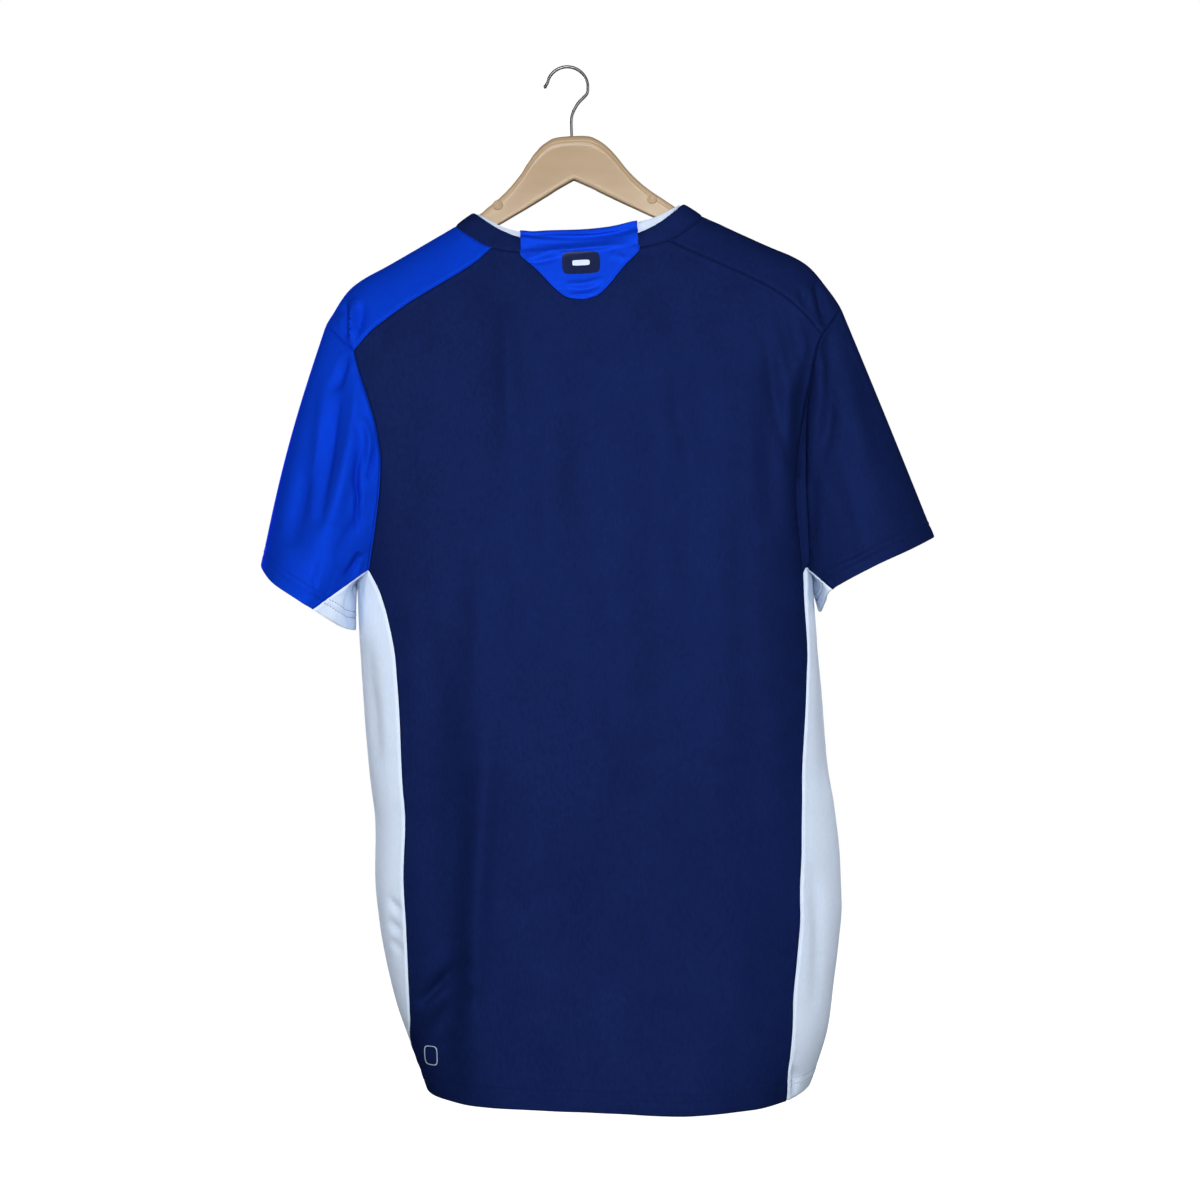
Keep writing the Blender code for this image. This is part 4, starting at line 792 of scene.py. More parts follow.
def edge_distance(grid, edge):
    """Distance along the grid's lines from one edge, in millimetres."""
    axis, far = int(edge in ("start", "end")), edge in ("top", "end")
    steps = np.linalg.norm(np.diff(grid, axis=axis), axis=2)
    run = np.cumsum(np.flip(steps, axis) if far else steps, axis=axis)
    run = np.insert(run, 0, 0, axis=axis)
    return np.flip(run, axis) if far else run


def drag_depth(x, y, z):
    """Depth of the valleys that the hanging sleeves draw along the armholes."""
    total = np.zeros_like(y)
    for face, depths in DRAG_DEPTH.items():
        for side, deep in depths.items():
            total += deep * np.clip(face * y / DRAG_EASE, 0, 1) * (side * x > 0)
    return total * bump(z - DRAG_MIDDLE, DRAG_LENGTH)


def sewn_relief(name, grid):
    """Fine folds of one piece, and grooves along its seams and its hem's needle lines."""
    sewn = SEWN[name]
    x, y, z = np.moveaxis(grid, -1, 0)
    relief = sum(np.clip(face * y / FACE_EASE, 0, 1) * crease_height(name, face, x, z)
                 for face in (BACK, FRONT))
    groove = np.zeros(grid.shape[:2])
    crest = np.clip(np.abs(y) / CREST_EASE, CREST_LEAST, 1)
    drag = drag_depth(x, y, z)
    (waver, waver_length), (mean, swing, fade_length) = PUCKER_WAVER, PUCKER_FADE
    for edge in sewn.seams:
        away = edge_distance(grid, edge)
        run = edge_distance(grid, "start" if edge in ("bottom", "top") else "bottom")
        relief *= 1 - bump(away, YOKE_EASE if "yoke" in name else CREASE_EASE)
        rise = away / PUCKER_REACH * np.exp(1 - away / PUCKER_REACH)
        turn = 2 * math.pi * run / PUCKER_LENGTH + waver * np.sin(run / waver_length)
        relief += crest * relieved(SEAM_SWELL, away)
        relief += PUCKER * crest * rise * np.sin(turn) * (mean + swing * np.sin(run / fade_length))
        groove = np.minimum(groove, crest * relieved(SEAM_GROOVE, away))
        if ("sleeve" in name and edge == "bottom") or (name in PANELS[1::2] and edge != "top"):
            relief -= drag * np.exp(-away / DRAG_REACH)
    if sewn.hem:
        away = edge_distance(grid, sewn.hem)
        relief -= NEEDLE_SINK * sum(bump(away - line, NEEDLE_WIDTH) for line in sewn.needles)
        relief += HEM_RISE / (1 + np.exp((away - sewn.needles[0] - HEM_PAST) / HEM_SOFT))
        relief += relieved(HEM_EDGE, away)
    return relief + groove


def add_to_scene(name, data):
    thing = bpy.data.objects.new(name, data)
    bpy.context.scene.collection.objects.link(thing)
    return thing


def add_object(name, points, faces, finish, uv=None, smooth_angle=50):
    """Mesh object from millimetre points; uv holds one pair in metres per point."""
    mesh = bpy.data.meshes.new(name)
    mesh.from_pydata((points * MM).tolist(), [], faces)
    if uv is not None:
        layer = mesh.uv_layers.new(name="cloth")
        corners = np.zeros(len(mesh.loops), np.int32)
        mesh.loops.foreach_get("vertex_index", corners)
        layer.data.foreach_set("uv", uv[corners].astype(np.float32).ravel())
    mesh.shade_smooth()
    mesh.set_sharp_from_angle(angle=math.radians(smooth_angle))
    mesh.materials.append(finish)
    thing = add_to_scene(name, mesh)
    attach(thing, "root")
    return thing


def quads(a, b, c, d):
    """Faces between four runs or grids of corner numbers."""
    return np.stack([a, b, c, d], axis=-1).reshape(-1, 4)


def grid_quads(index):
    return quads(index[:-1, :-1], index[:-1, 1:], index[1:, 1:], index[1:, :-1])


def shell_faces(rows, across, ring=False):
    """Faces of a closed wall between an outer and an inner grid."""
    index = np.arange(rows * across).reshape(rows, across)
    if ring:
        index = np.concatenate([index, index[:, :1]], axis=1)
    shift = rows * across
    outer = grid_quads(index)
    borders = [index[0], index[-1, ::-1]] + ([] if ring else [index[::-1, 0], index[:, -1]])
    walls = [quads(run[:-1] + shift, run[1:] + shift, run[1:], run[:-1]) for run in borders]
    return np.concatenate([outer, outer[:, [0, 3, 2, 1]] + shift, *walls]).tolist()


def tube_faces(rings, sides):
    """Side faces and the two end faces of a tube."""
    index = np.arange(rings * sides).reshape(rings, sides)
    turned = np.roll(index, -1, axis=1)
    return quads(index[:-1], turned[:-1], turned[1:], index[1:]), index[0, ::-1], index[-1]


def tube(name, rings, slot, finishes, smooth_angle):
    """Closed solid through rings of points, facing outwards."""
    sides, start, end = tube_faces(*rings.shape[:2])
    faces = [*sides.tolist(), start.tolist(), end.tolist()]
    thing = add_object(name, rings.reshape(-1, 3), faces, finishes[slot], smooth_angle=smooth_angle)
    work = bmesh.new()
    work.from_mesh(thing.data)
    if work.calc_volume(signed=True) < 0:
        bmesh.ops.reverse_faces(work, faces=work.faces)
    work.to_mesh(thing.data)
    work.free()
    return thing


def cloth_uv(grid):
    """Flat place of each point along the cloth, in metres."""
    across, up = edge_distance(grid, "start"), edge_distance(grid, "bottom")
    middle = grid.shape[1] // 2
    u = across - across[:, middle:middle + 1]
    v = 0.5 * (up[:, middle:middle + 1] + up)
    return np.stack([u, v], axis=-1) * MM


def shell(name, outer, wall, finish, ring=False, normals=None):
    """Closed cloth wall under an outer grid; wall is a number or one value per point."""
    if normals is None:
        normals = grid_normals(outer)
    wall = np.broadcast_to(np.asarray(wall, float), outer.shape[:2])[..., None]
    inner = outer - normals * wall
    uv = cloth_uv(outer)
    if ring:
        outer, inner, uv = outer[:, :-1], inner[:, :-1], uv[:, :-1]
    points = np.concatenate([outer.reshape(-1, 3), inner.reshape(-1, 3)])
    uv = np.concatenate([uv.reshape(-1, 2)] * 2)
    return add_object(name, points, shell_faces(*outer.shape[:2], ring), finish, uv)


def hem_wall(name, grid):
    """Wall thickness of a piece, double where its hem is turned up."""
    sewn = SEWN[name]
    if not sewn.hem:
        return CLOTH
    left = sewn.needles[0] + HEM_TAPER - edge_distance(grid, sewn.hem)
    return CLOTH + (HEM_CLOTH - CLOTH) * np.clip(left / HEM_TAPER, 0, 1)


def declare(piece, node, slot, grid, *rests_on):
    """Hide the solid that a cloth piece stands for and work out the size of its flat cut. The slot is not
    used.
    """
    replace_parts(piece, node)
    width = float(edge_distance(grid, "start")[:, -1].max()) * MM
    length = float(edge_distance(grid, "bottom")[-1].max()) * MM
    cells = np.cross(grid[1:, 1:] - grid[:-1, :-1], grid[1:, :-1] - grid[:-1, 1:])
    area = float(np.linalg.norm(cells, axis=2).sum() / 2) * MM * MM
    area = min(max(area, LEAST_FILLED * width * length), width * length)


def dress_cloth(finishes):
    """Build panels, yokes, sleeves and gussets; return their outer grids and normals."""
    grids = body_grids()
    for side, name in SIDES.items():
        grids["sleeve_" + name], grids["gusset_" + name] = sleeve_grids(side, grids)
    groups = edge_groups(grids)
    normals = {name: grid_normals(grid) for name, grid in grids.items()}
    weld_normals(normals, groups)
    outer = {name: grid + normals[name] * sewn_relief(name, grid)[..., None] for name, grid in grids.items()}
    weld_points(outer, groups)
    for name, grid in outer.items():
        slot = SEWN[name].slot
        piece = shell("cloth_" + name, grid, hem_wall(name, grid), finishes[slot], normals=normals[name])
        declare(piece, name, slot, grid, "hanger_body")
    return outer, normals


# ---------------------------------------------------------------- collar

def collar_ring(outer):
    """Seam and top edge of the collar, and the facing's rise, from the back left corner round to it again."""
    first, up = len(LONG_SHARES) - 1, len(UP_SHARES)
    stretches = []
    for face, panel, yoke in ((BACK, outer["back_panel"][-1], outer["yoke_right"][:, 0]),
                              (FRONT, outer["front_panel"][-1], outer["yoke_left"][::-1, -1])):
        edge, half = panel[first:first + NECK_STEPS[face] + 1], NECK_STEPS[face] // 2
        stretches += [(edge[:half + 1], face, YOKE_ROW[face], MIDDLE_ROW[face], top_shares(face)),
                      (edge[half:], -face, MIDDLE_ROW[face], YOKE_ROW[face], top_shares(face)),
                      (yoke[:up], -face, YOKE_ROW[face], NECK_POINT, UP_SHARES),
                      (yoke[up - 1:], -face, NECK_POINT, YOKE_ROW[-face], 1 - UP_SHARES[::-1])]
    parts = []
    for k, (points, side, start, end, steps) in enumerate(stretches):
        top, rise = neck_edge(side, start, end, steps, "top")
        parts.append([values[min(k, 1):] for values in (points, top, rise)])
    return [np.concatenate(values) for values in zip(*parts)]


def even_ring(count, points, *others):
    """Resample a closed run of points, and what goes with them, at even distances."""
    run = travel(points)
    where = np.linspace(0, run[-1], count + 1)
    return [along(where, run, values.reshape(len(values), -1)) for values in (points, *others)]


def relax(values, rounds):
    """Smooth a closed run a little."""
    for _ in range(rounds):
        inner = values[:-1]
        inner = 0.5 * inner + 0.25 * (np.roll(inner, 1, axis=0) + np.roll(inner, -1, axis=0))
        values = np.concatenate([inner, inner[:1]])
    return values


def ring_frame(seam, top):
    """Directions up the collar, its height, and directions outwards."""
    up = top - seam
    height = np.linalg.norm(up, axis=1, keepdims=True)
    up = up / height
    core = seam[:-1]
    forward = np.roll(core, -1, axis=0) - np.roll(core, 1, axis=0)
    outward = unit(np.cross(np.concatenate([forward, forward[:1]]), up))
    return up, height, relax(outward, rounds=3)


BAND_LEVELS = np.array([0, 0.6, 1.3, 2.2, 3.5, 5.5, 8, 10.5, 12.2, 13.2, 13.8, 14.2]) / 14.2


def dress_collar(outer, finishes):
    """Collar band and the facing that stands above it."""
    seam, top, rise = even_ring(RING_STEPS, *collar_ring(outer))
    top = relax(top, rounds=4)
    up, height, outward = ring_frame(seam, top)
    level = BAND_LEVELS[:, None, None]
    from_seam, from_top = level * height, (1 - level) * height
    swell = BAND_FULL * (1 - bump(from_seam, BAND_SET)) + BAND_BOW * np.sin(math.pi * level)
    swell = swell + relieved(BAND_TOP, from_top)
    band = seam + up * height * level + outward * swell
    piece = shell("cloth_collar_band", band, BAND_CLOTH, finishes["navy_knit"], True,
                  np.broadcast_to(outward, band.shape))
    declare(piece, "collar_band", "navy_knit", band, "cloth_back_panel", "cloth_front_panel")

    x, behind = top[:, :1], top[:, 1:2] < 0
    rise = rise + behind * sum(relieved(hill, x) for hill in FACING_HILLS)
    stand = 1 + rise / height
    steps = np.linspace(0, 1, FACING_ROWS)[:, None, None] ** FACING_BIAS
    level = FACING_START + (stand - FACING_START) * steps
    lean = FACING_SWAY[0] * np.sin(level * FACING_SWAY[1]) + relieved(FACING_TOP, (stand - level) * height)
    facing = seam + up * height * level - outward * (BAND_CLOTH + FACING_BEHIND) + outward * lean
    # the facing wears a darker copy of the pale knit: painted shade
    piece = shell("cloth_collar_facing", facing, CLOTH, finishes["facing_knit"], True,
                  np.broadcast_to(outward, facing.shape))
    declare(piece, "collar_facing", "pale_knit", facing, "cloth_collar_band")
    return band, facing


# ---------------------------------------------------------------- back-neck tab

def grid_tree(*grids):
    """Search tree over some outer grids."""
    points = np.concatenate([grid.reshape(-1, 3) for grid in grids])
    faces, start = [], 0
    for rows, across in (grid.shape[:2] for grid in grids):
        faces.append(grid_quads(np.arange(rows * across).reshape(rows, across)) + start)
        start += rows * across
    return BVHTree.FromPolygons(points.tolist(), np.concatenate(faces).tolist())


def cast(tree, x, z):
    """Depth y of the first surface met at x, z from behind the back, or None."""
    hit = tree.ray_cast(Vector((x, -500.0, z)), Vector((0, 1, 0)))[0]
    return None if hit is None else hit.y


half_width = smooth(column(TAB_OUTLINE, "z", "half"))


def tab_line(share, top_x, tree, near, crest, rim):
    """One line of the tab: up the back and the band, over the facing's top edge and down inside."""
    low_z, high_z = TAB_OUTLINE[0].z, TAB_OUTLINE[-1].z
    stops = ((low_z, high_z), (high_z, rim), (rim, crest - TAB_FOOT))
    levels = np.concatenate([np.linspace(*stop, steps)[min(k, 1):]
                             for k, (stop, steps) in enumerate(zip(stops, TAB_STEPS))])
    places = np.where(levels < high_z, TAB_X + share * half_width(levels), top_x)
    reach = LAY_GAP + CLOTH
    y = []
    for x, z in zip(places, levels):
        hit = cast(tree, x, min(z, crest - TAB_RAYS - TAB_PULL))
        y.append(y[-1] if hit is None else hit - reach)
    y = np.array(y)
    y = np.minimum.reduce([y, np.r_[y[1:], y[-1]], np.r_[y[0], y[:-1]], np.r_[y[0], y[0], y[:-2]]])
    y -= TAB_SPARE
    for _ in range(3):
        y = np.convolve(np.r_[y[0], y, y[-1]], (0.25, 0.5, 0.25), "valid")
    y -= relieved(TAB_ROLL, levels - crest)
    centre, radius = near + CLOTH / 2, CLOTH / 2 + reach
    guide = list(zip(places, y, levels))
    for turn in np.linspace(TAB_TURN, math.pi, TAB_TURN_STEPS):
        half = centre - y[-1] if turn < math.pi / 2 else radius
        rise = (radius - TAB_FLATTER) * math.sin(turn)
        guide.append((top_x, centre - half * math.cos(turn), crest + rise))
    guide += [(top_x, centre + radius + TAB_LEG_LEAN * drop, crest - drop) for drop in TAB_LEG_DROPS]
    return open_curve(guide, np.linspace(0, 1, 2 * len(guide) - 1))


def dress_tab(outer, band, facing, finishes):
    """Tab that lies on back panel and band, folds over the facing and hangs down inside."""
    tree = grid_tree(outer["back_panel"][-BED_ROWS:], band, facing)
    behind = np.flatnonzero(facing[-1, :, 1] < -2)
    behind = behind[np.argsort(facing[-1, behind, 0])]
    edge_x, edge_y, edge_z = facing[-1, behind].T
    lines = []
    for share in np.linspace(-1, 1, TAB_COLUMNS):
        x = TAB_X + share * (TAB_OUTLINE[-1].half - TAB_FOLD_TRIM)
        near, crest, rim = (np.interp(x, edge_x, values) for values in (edge_y, edge_z, band[-1, behind, 2]))
        lines.append(tab_line(share, x, tree, near, crest + TAB_PULL * (1 - share ** 2), rim))
    grid = np.array(lines).swapaxes(0, 1)
    normals = grid_normals(grid)
    creased = np.arange(len(grid))[:, None] <= 2 * (sum(TAB_STEPS) + 1)     # up to the fold's crest
    height = creased * crease_height("neck_tab", BACK, grid[..., 0], grid[..., 2])
    away = np.minimum.reduce([edge_distance(grid, edge) for edge in ("start", "end", "bottom")])
    height = height * (1 - bump(away, TAB_EASE)) + relieved(TAB_NEEDLE, away) + relieved(TAB_EDGE, away)
    grid = grid + normals * height[..., None]
    # the tab wears a brighter copy of the royal knit: painted light
    piece = shell("cloth_neck_tab", grid, CLOTH, finishes["tab_knit"], normals=normals)
    declare(piece, "neck_tab", "royal_knit", grid, "cloth_collar_facing", "cloth_back_panel")
    return grid


# ---------------------------------------------------------------- stitches and prints

# One thread's rings: their place along the stitch, their size and their lift, as shares and millimetres
THREAD_RINGS = table("place size lift", (-0.5, 0.35, -0.16), (-0.38, 0.85, 0.02), (0, 1, 0.14),
                     (0.38, 0.85, 0.02), (0.5, 0.35, -0.16))
THREAD_SIDES = 6
Stitch = namedtuple("Stitch", "pitch length radius")
HEM_STITCH, TAB_STITCH = Stitch(3.0, 2.1, 0.24), Stitch(2.8, 1.9, 0.18)
TAB_INSET = 2.0             # the tab's stitches run this far inside its outline
STITCH_MARGIN = 1.0         # left free at each end of a row


def stitches(name, path, normals, stitch, finish):
    """Joined small thread bodies along a path of points, dipping into the cloth at their ends."""
    run = travel(path)
    sewn = run[-1] - 2 * STITCH_MARGIN
    count = int(sewn / stitch.pitch)
    middle = STITCH_MARGIN + (np.arange(count) + 0.5) * sewn / count
    place, size, lift = np.array(THREAD_RINGS).T
    where = middle[:, None] + place * stitch.length
    centre, normal = along(where, run, path), unit(along(where, run, normals))
    forward = unit(centre[:, -1] - centre[:, 0])[:, None]
    side = unit(np.cross(forward, normal))
    centre = centre + normal * lift[:, None]
    turn = turns(THREAD_SIDES)[:, None]
    offset = np.cos(turn) * side[:, :, None] + np.sin(turn) * normal[:, :, None]
    points = centre[:, :, None] + offset * (size * stitch.radius)[:, None, None]
    sides, start, end = tube_faces(len(place), THREAD_SIDES)
    shift = len(place) * THREAD_SIDES * np.arange(count)[:, None]
    faces = [face for part in ((sides + shift[..., None]).reshape(-1, 4), start + shift, end + shift)
             for face in part.tolist()]
    add_object(name, points.reshape(-1, 3), faces, finish, smooth_angle=80)


def inset_line(grid, normals, edge, away):
    """Points and normals along a line that runs at one distance from an edge."""
    lines = [edge_distance(grid, edge), grid, normals]
    if edge in ("bottom", "top"):
        lines = [values.swapaxes(0, 1) for values in lines]
    if edge in ("top", "end"):
        lines = [values[:, ::-1] for values in lines]
    runs, *values = lines
    points, directions = (np.array([along(away, run, line) for run, line in zip(runs, rows)])
                          for rows in values)
    return points, unit(directions)


def sew_hems(outer, normals, finishes):
    """Two rows of stitches above each hem and cuff."""
    for name, sewn in SEWN.items():
        for row, away in enumerate(sewn.needles):
            path, direction = inset_line(outer[name], normals[name], sewn.hem, away)
            stitches(f"stitches_{name}_{row}", path, direction, HEM_STITCH, finishes[sewn.thread])


def sew_tab(grid, finishes):
    """One row of stitches just inside the tab's outline, below its fold."""
    high = int(np.argmax(grid[:, 0, 2] > TAB_OUTLINE[-1].z - 1))
    for edge in ("start", "end"):
        path, direction = (line[2:high] for line in inset_line(grid, grid_normals(grid), edge, TAB_INSET))
        stitches("stitches_tab_" + edge, path, direction, TAB_STITCH, finishes["royal_thread"])


BADGE, HEM_MARK = (5.2, -175.5), (-152.0, -853.0)
PRINT_WALL = 0.12
RING_SPOKES, RING_LINES, DISC_LINES, DISC_BEND = 73, 4, 23, 0.22


def print_patch(name, tree, centre, grid, lift, finish, ring=False):
    """Thin print laid on a surface; grid holds x, z offsets from its centre."""
    flat = grid + centre
    points = np.array([[(x, cast(tree, x, z), z) for x, z in row] for row in flat])
    normals = grid_normals(points)
    normals *= np.where(normals[..., 1:2] > 0, -1, 1)
    shell(name, points + normals * lift, PRINT_WALL, finish, ring, normals)


def rounded_ring(width, height, stroke):
    """Outline of a rounded rectangle."""
    turn = np.linspace(0, 2 * math.pi, RING_SPOKES)
    circle = np.stack([np.cos(turn), np.sin(turn)], axis=-1)
    corner = np.sign(circle) * np.sqrt(np.abs(circle)) / 2
    inset = 2 * stroke * np.linspace(0, 1, RING_LINES)[:, None, None]
    return corner * (np.array([width, height]) - inset)


def rounded_disc(width, height):
    """Square grid bent into a rounded rectangle."""
    line = np.linspace(-1, 1, DISC_LINES)
    u, v = np.meshgrid(line, line)
    return np.stack([width / 2 * u * np.sqrt(1 - DISC_BEND * v ** 4),
                     height / 2 * v * np.sqrt(1 - DISC_BEND * u ** 4)], axis=-1)


def add_prints(outer, tab, finishes):
    """Generic badge on the tab and generic mark above the hem."""
    tree = grid_tree(tab[:TAB_OUTER_ROWS])
    for name, size, lift, finish in (("badge_field", (33, 20), 0.06, "badge_navy"),
                                     ("badge_bar", (15, 5), 0.14, "badge_pale")):
        print_patch(name, tree, BADGE, rounded_disc(*size), lift, finishes[finish])
    tree = grid_tree(outer["back_panel"][:BED_ROWS])
    print_patch("hem_mark", tree, HEM_MARK, rounded_ring(12, 17, 0.7), 0.08, finishes["mark_pale"],
                True)


# ---------------------------------------------------------------- hanger and hook

EDGE_PROFILE = [            # share of the full thickness at a distance from the arm's top edge
    (0.0, 0.0), (0.12, 0.28), (0.45, 0.52), (1.0, 0.72), (1.8, 0.86), (2.8, 0.95), (3.9, 0.99), (4.8, 1.0),
    (5.6, 0.975), (6.4, 0.93)]
LOWER_PROFILE = [(0.9, 0.895), (0.45, 0.86), (0.2, 0.78), (0.05, 0.66), (0.0, 0.0)]
FACE_THICKNESS = 0.92
FACE_TAPER = 0.02           # the faces lean together by this share down to the lower edge
FULL_HEIGHT = 16.0          # where an arm is lower than this, its edges' profiles shrink
HUB_REACH = 60.0            # the hub's thickness runs out to the arms' over this much
TIP_LENGTH, TIP_ROUND, TIP_LEAST = 7.0, 70.0, 0.2       # an arm thins out at its tip
HUB_RINGS, ARM_RINGS, FACE_STEPS, BOSS_SIDES = 41, 46, 7, 36
BOSSES = table("name x z radius", ("boss_left", -65.8, -118.3, 4.4), ("boss_right", 69.9, -118.7, 4.2))
BOSS_PROFILE = [(1.1, 0.5), (1.9, 0.62), (2.6, 0.95), (3.3, 1.05), (3.9, 0.75)]      # radius, rise


def hanger_ring(side, h, high, low):
    """Points round the hanger's section at h along one arm."""
    last = HANGER_OUTLINE[-1].h
    thick = HUB_HALF_THICK + (ARM_HALF_THICK - HUB_HALF_THICK) * min(h / HUB_REACH, 1)
    thick *= math.sqrt(max(1 - max(h - last + TIP_LENGTH, 0) ** 2 / TIP_ROUND, TIP_LEAST))
    scale = min((high - low) / FULL_HEIGHT, 1)
    half = [(high - scale * d, share) for d, share in EDGE_PROFILE]
    first, end = half[-1][0], low + scale * LOWER_PROFILE[0][0]
    half += [(first + (end - first) * t, FACE_THICKNESS - FACE_TAPER * t)
             for t in np.linspace(0.1, 0.9, FACE_STEPS)]
    half += [(low + scale * d, share) for d, share in LOWER_PROFILE]
    ring = [(share * thick, z) for z, share in half] + [(-share * thick, z) for z, share in half[-2:0:-1]]
    y, z = np.array(ring).T
    x, z = from_hanger(side, h, z)
    return np.stack([x, y, z], axis=-1)


def dress_hanger(finishes):
    """Moulded hanger with a beaded top edge, flat faces, a sharp notch and two bosses."""
    top, bottom = (smooth(column(HANGER_OUTLINE, "h", edge)) for edge in ("top", "bottom"))
    reach = np.r_[np.linspace(0, HUB_REACH, HUB_RINGS),
                  np.linspace(HUB_REACH, HANGER_OUTLINE[-1].h, ARM_RINGS)[1:]]
    places = [(-1, h) for h in reach[:0:-1]] + [(1, h) for h in reach]
    rings = np.array([hanger_ring(side, h, float(top(h)), float(bottom(h))) for side, h in places])
    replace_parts(tube("hanger_moulding", rings, "hanger_plastic", finishes, 35), "hanger_body")
    for boss in BOSSES:
        profile = BOSS_PROFILE + [(boss.radius, 0.1), (boss.radius, -0.5)]
        face_y = -ARM_HALF_THICK * FACE_THICKNESS
        rings = np.array([[(boss.x + r * math.cos(a), face_y - rise, boss.z + r * math.sin(a))
                           for a in turns(BOSS_SIDES)] for r, rise in profile])
        tube("hanger_" + boss.name, rings, "hanger_plastic", finishes, 60)


# The wire's bends below and beyond its round, which is given in degrees
HOOK_STEM = [(HUB_X, HUB_Z - BORE_DEPTH + 0.6), (HUB_X, -57.0), (1.8, -46.0), (3.6, -38.8), (8.6, -30.8)]
HOOK_ROUND, HOOK_TIP = np.linspace(-22, 166, 12), (-21.0, -16.6)
KNOB, KNOB_LENGTH, KNOB_LEAST = Relief(0.25, 1.3, 0.9), 1.3, 0.02
SHOWN_RADIUS = WIRE_RADIUS - 0.1
HOOK_STEPS, HOOK_RINGS, WIRE_SIDES = 201, 241, 16


def dress_hook(finishes):
    """Bent wire with a small rounded knob at its tip."""
    arc = [(HOOK_CENTRE[0] + HOOK_RADIUS * math.cos(a), HOOK_CENTRE[1] + HOOK_RADIUS * math.sin(a))
           for a in np.radians(HOOK_ROUND)]
    guide = [(x, 0.0, z) for x, z in (*HOOK_STEM, *arc, HOOK_TIP)]
    path = open_curve(guide, np.linspace(0, 1, HOOK_STEPS))
    run = travel(path)
    even = np.linspace(0, run[-1], HOOK_RINGS)
    path, left = along(even, run, path), run[-1] - even
    end = ((KNOB_LENGTH - left) / KNOB_LENGTH).clip(0)
    radius = (SHOWN_RADIUS + relieved(KNOB, left)) * np.sqrt(np.clip(1 - end ** 2, KNOB_LEAST, 1))
    across = np.array([0.0, 1.0, 0.0])
    upward = unit(np.cross(unit(np.gradient(path, axis=0)), across))[:, None]
    turn = turns(WIRE_SIDES)[:, None]
    rings = path[:, None] + radius[:, None, None] * (np.cos(turn) * across + np.sin(turn) * upward)
    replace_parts(tube("hook_wire", rings, "hook_steel", finishes, 60), "hook")


# ---------------------------------------------------------------- finishes

class Nodes:
    """Short ways to add shader nodes to a tree."""

    def __init__(self, tree):
        self.tree = tree

    def feed(self, node, inputs):
        """Set sockets, by name or number, or link other nodes' outputs to them."""
        for key, value in inputs.items():
            if isinstance(value, bpy.types.NodeSocket):
                self.tree.links.new(value, node.inputs[key])
            else:
                node.inputs[key].default_value = value
        return node

    def put(self, kind, inputs=None, **settings):
        node = self.tree.nodes.new(kind)
        for key, value in settings.items():
            setattr(node, key, value)
        return self.feed(node, inputs or {})

    def math(self, operation, *values):
        return self.put("ShaderNodeMath", dict(enumerate(values)), operation=operation).outputs[0]

    def place(self, stretch=None):
        """Coordinates on the object, stretched or not."""
        spot = self.put("ShaderNodeTexCoord").outputs["Object"]
        if not stretch:
            return spot
        return self.put("ShaderNodeMapping", {"Vector": spot, "Scale": stretch}).outputs[0]

    def noise(self, vector, scale, detail=2.0, roughness=0.6):
        inputs = {"Vector": vector, "Scale": scale, "Detail": detail, "Roughness": roughness}
        return self.put("ShaderNodeTexNoise", inputs).outputs[0]

    def ramp(self, value, low, high, curve):
        """0 to 1 while value goes from low to high."""
        inputs = {"Value": value, "From Min": low, "From Max": high}
        return self.put("ShaderNodeMapRange", inputs, interpolation_type=curve).outputs[0]

    def blend(self, factor, low, high):
        inputs = {"Factor": factor, "A": (*low, 1), "B": (*high, 1)}
        return self.put("ShaderNodeMix", inputs, data_type="RGBA").outputs["Result"]

    def bump(self, height, distance, strength, under=None):
        inputs = {"Height": height, "Distance": distance, "Strength": strength}
        if under is not None:
            inputs["Normal"] = under
        return self.put("ShaderNodeBump", inputs).outputs[0]


class Finish(Nodes):
    """A new material with one colour and roughness, to which nodes can be added."""

    def __init__(self, name, colour, roughness, metallic=0.0, specular=0.5):
        self.made = bpy.data.materials.new(name)
        self.made.use_nodes = True
        self.made.diffuse_color = (*colour, 1)
        super().__init__(self.made.node_tree)
        self.shader = self.tree.nodes["Principled BSDF"]
        self.look({"Base Color": (*colour, 1), "Roughness": roughness, "Metallic": metallic,
                   "Specular IOR Level": specular})

    def look(self, inputs):
        """Set or link sockets of the shader."""
        self.feed(self.shader, inputs)


WALE, COURSE = 0.0011, 0.0009    # width of a knit column and height of a row, in metres
YARN_RELIEF, FUZZ_RELIEF = 0.00016, 0.0004


def tinted(colour, base, gain):
    """A paler tone of a colour."""
    return (*[min(1.0, base + gain * c) for c in colour], 1)


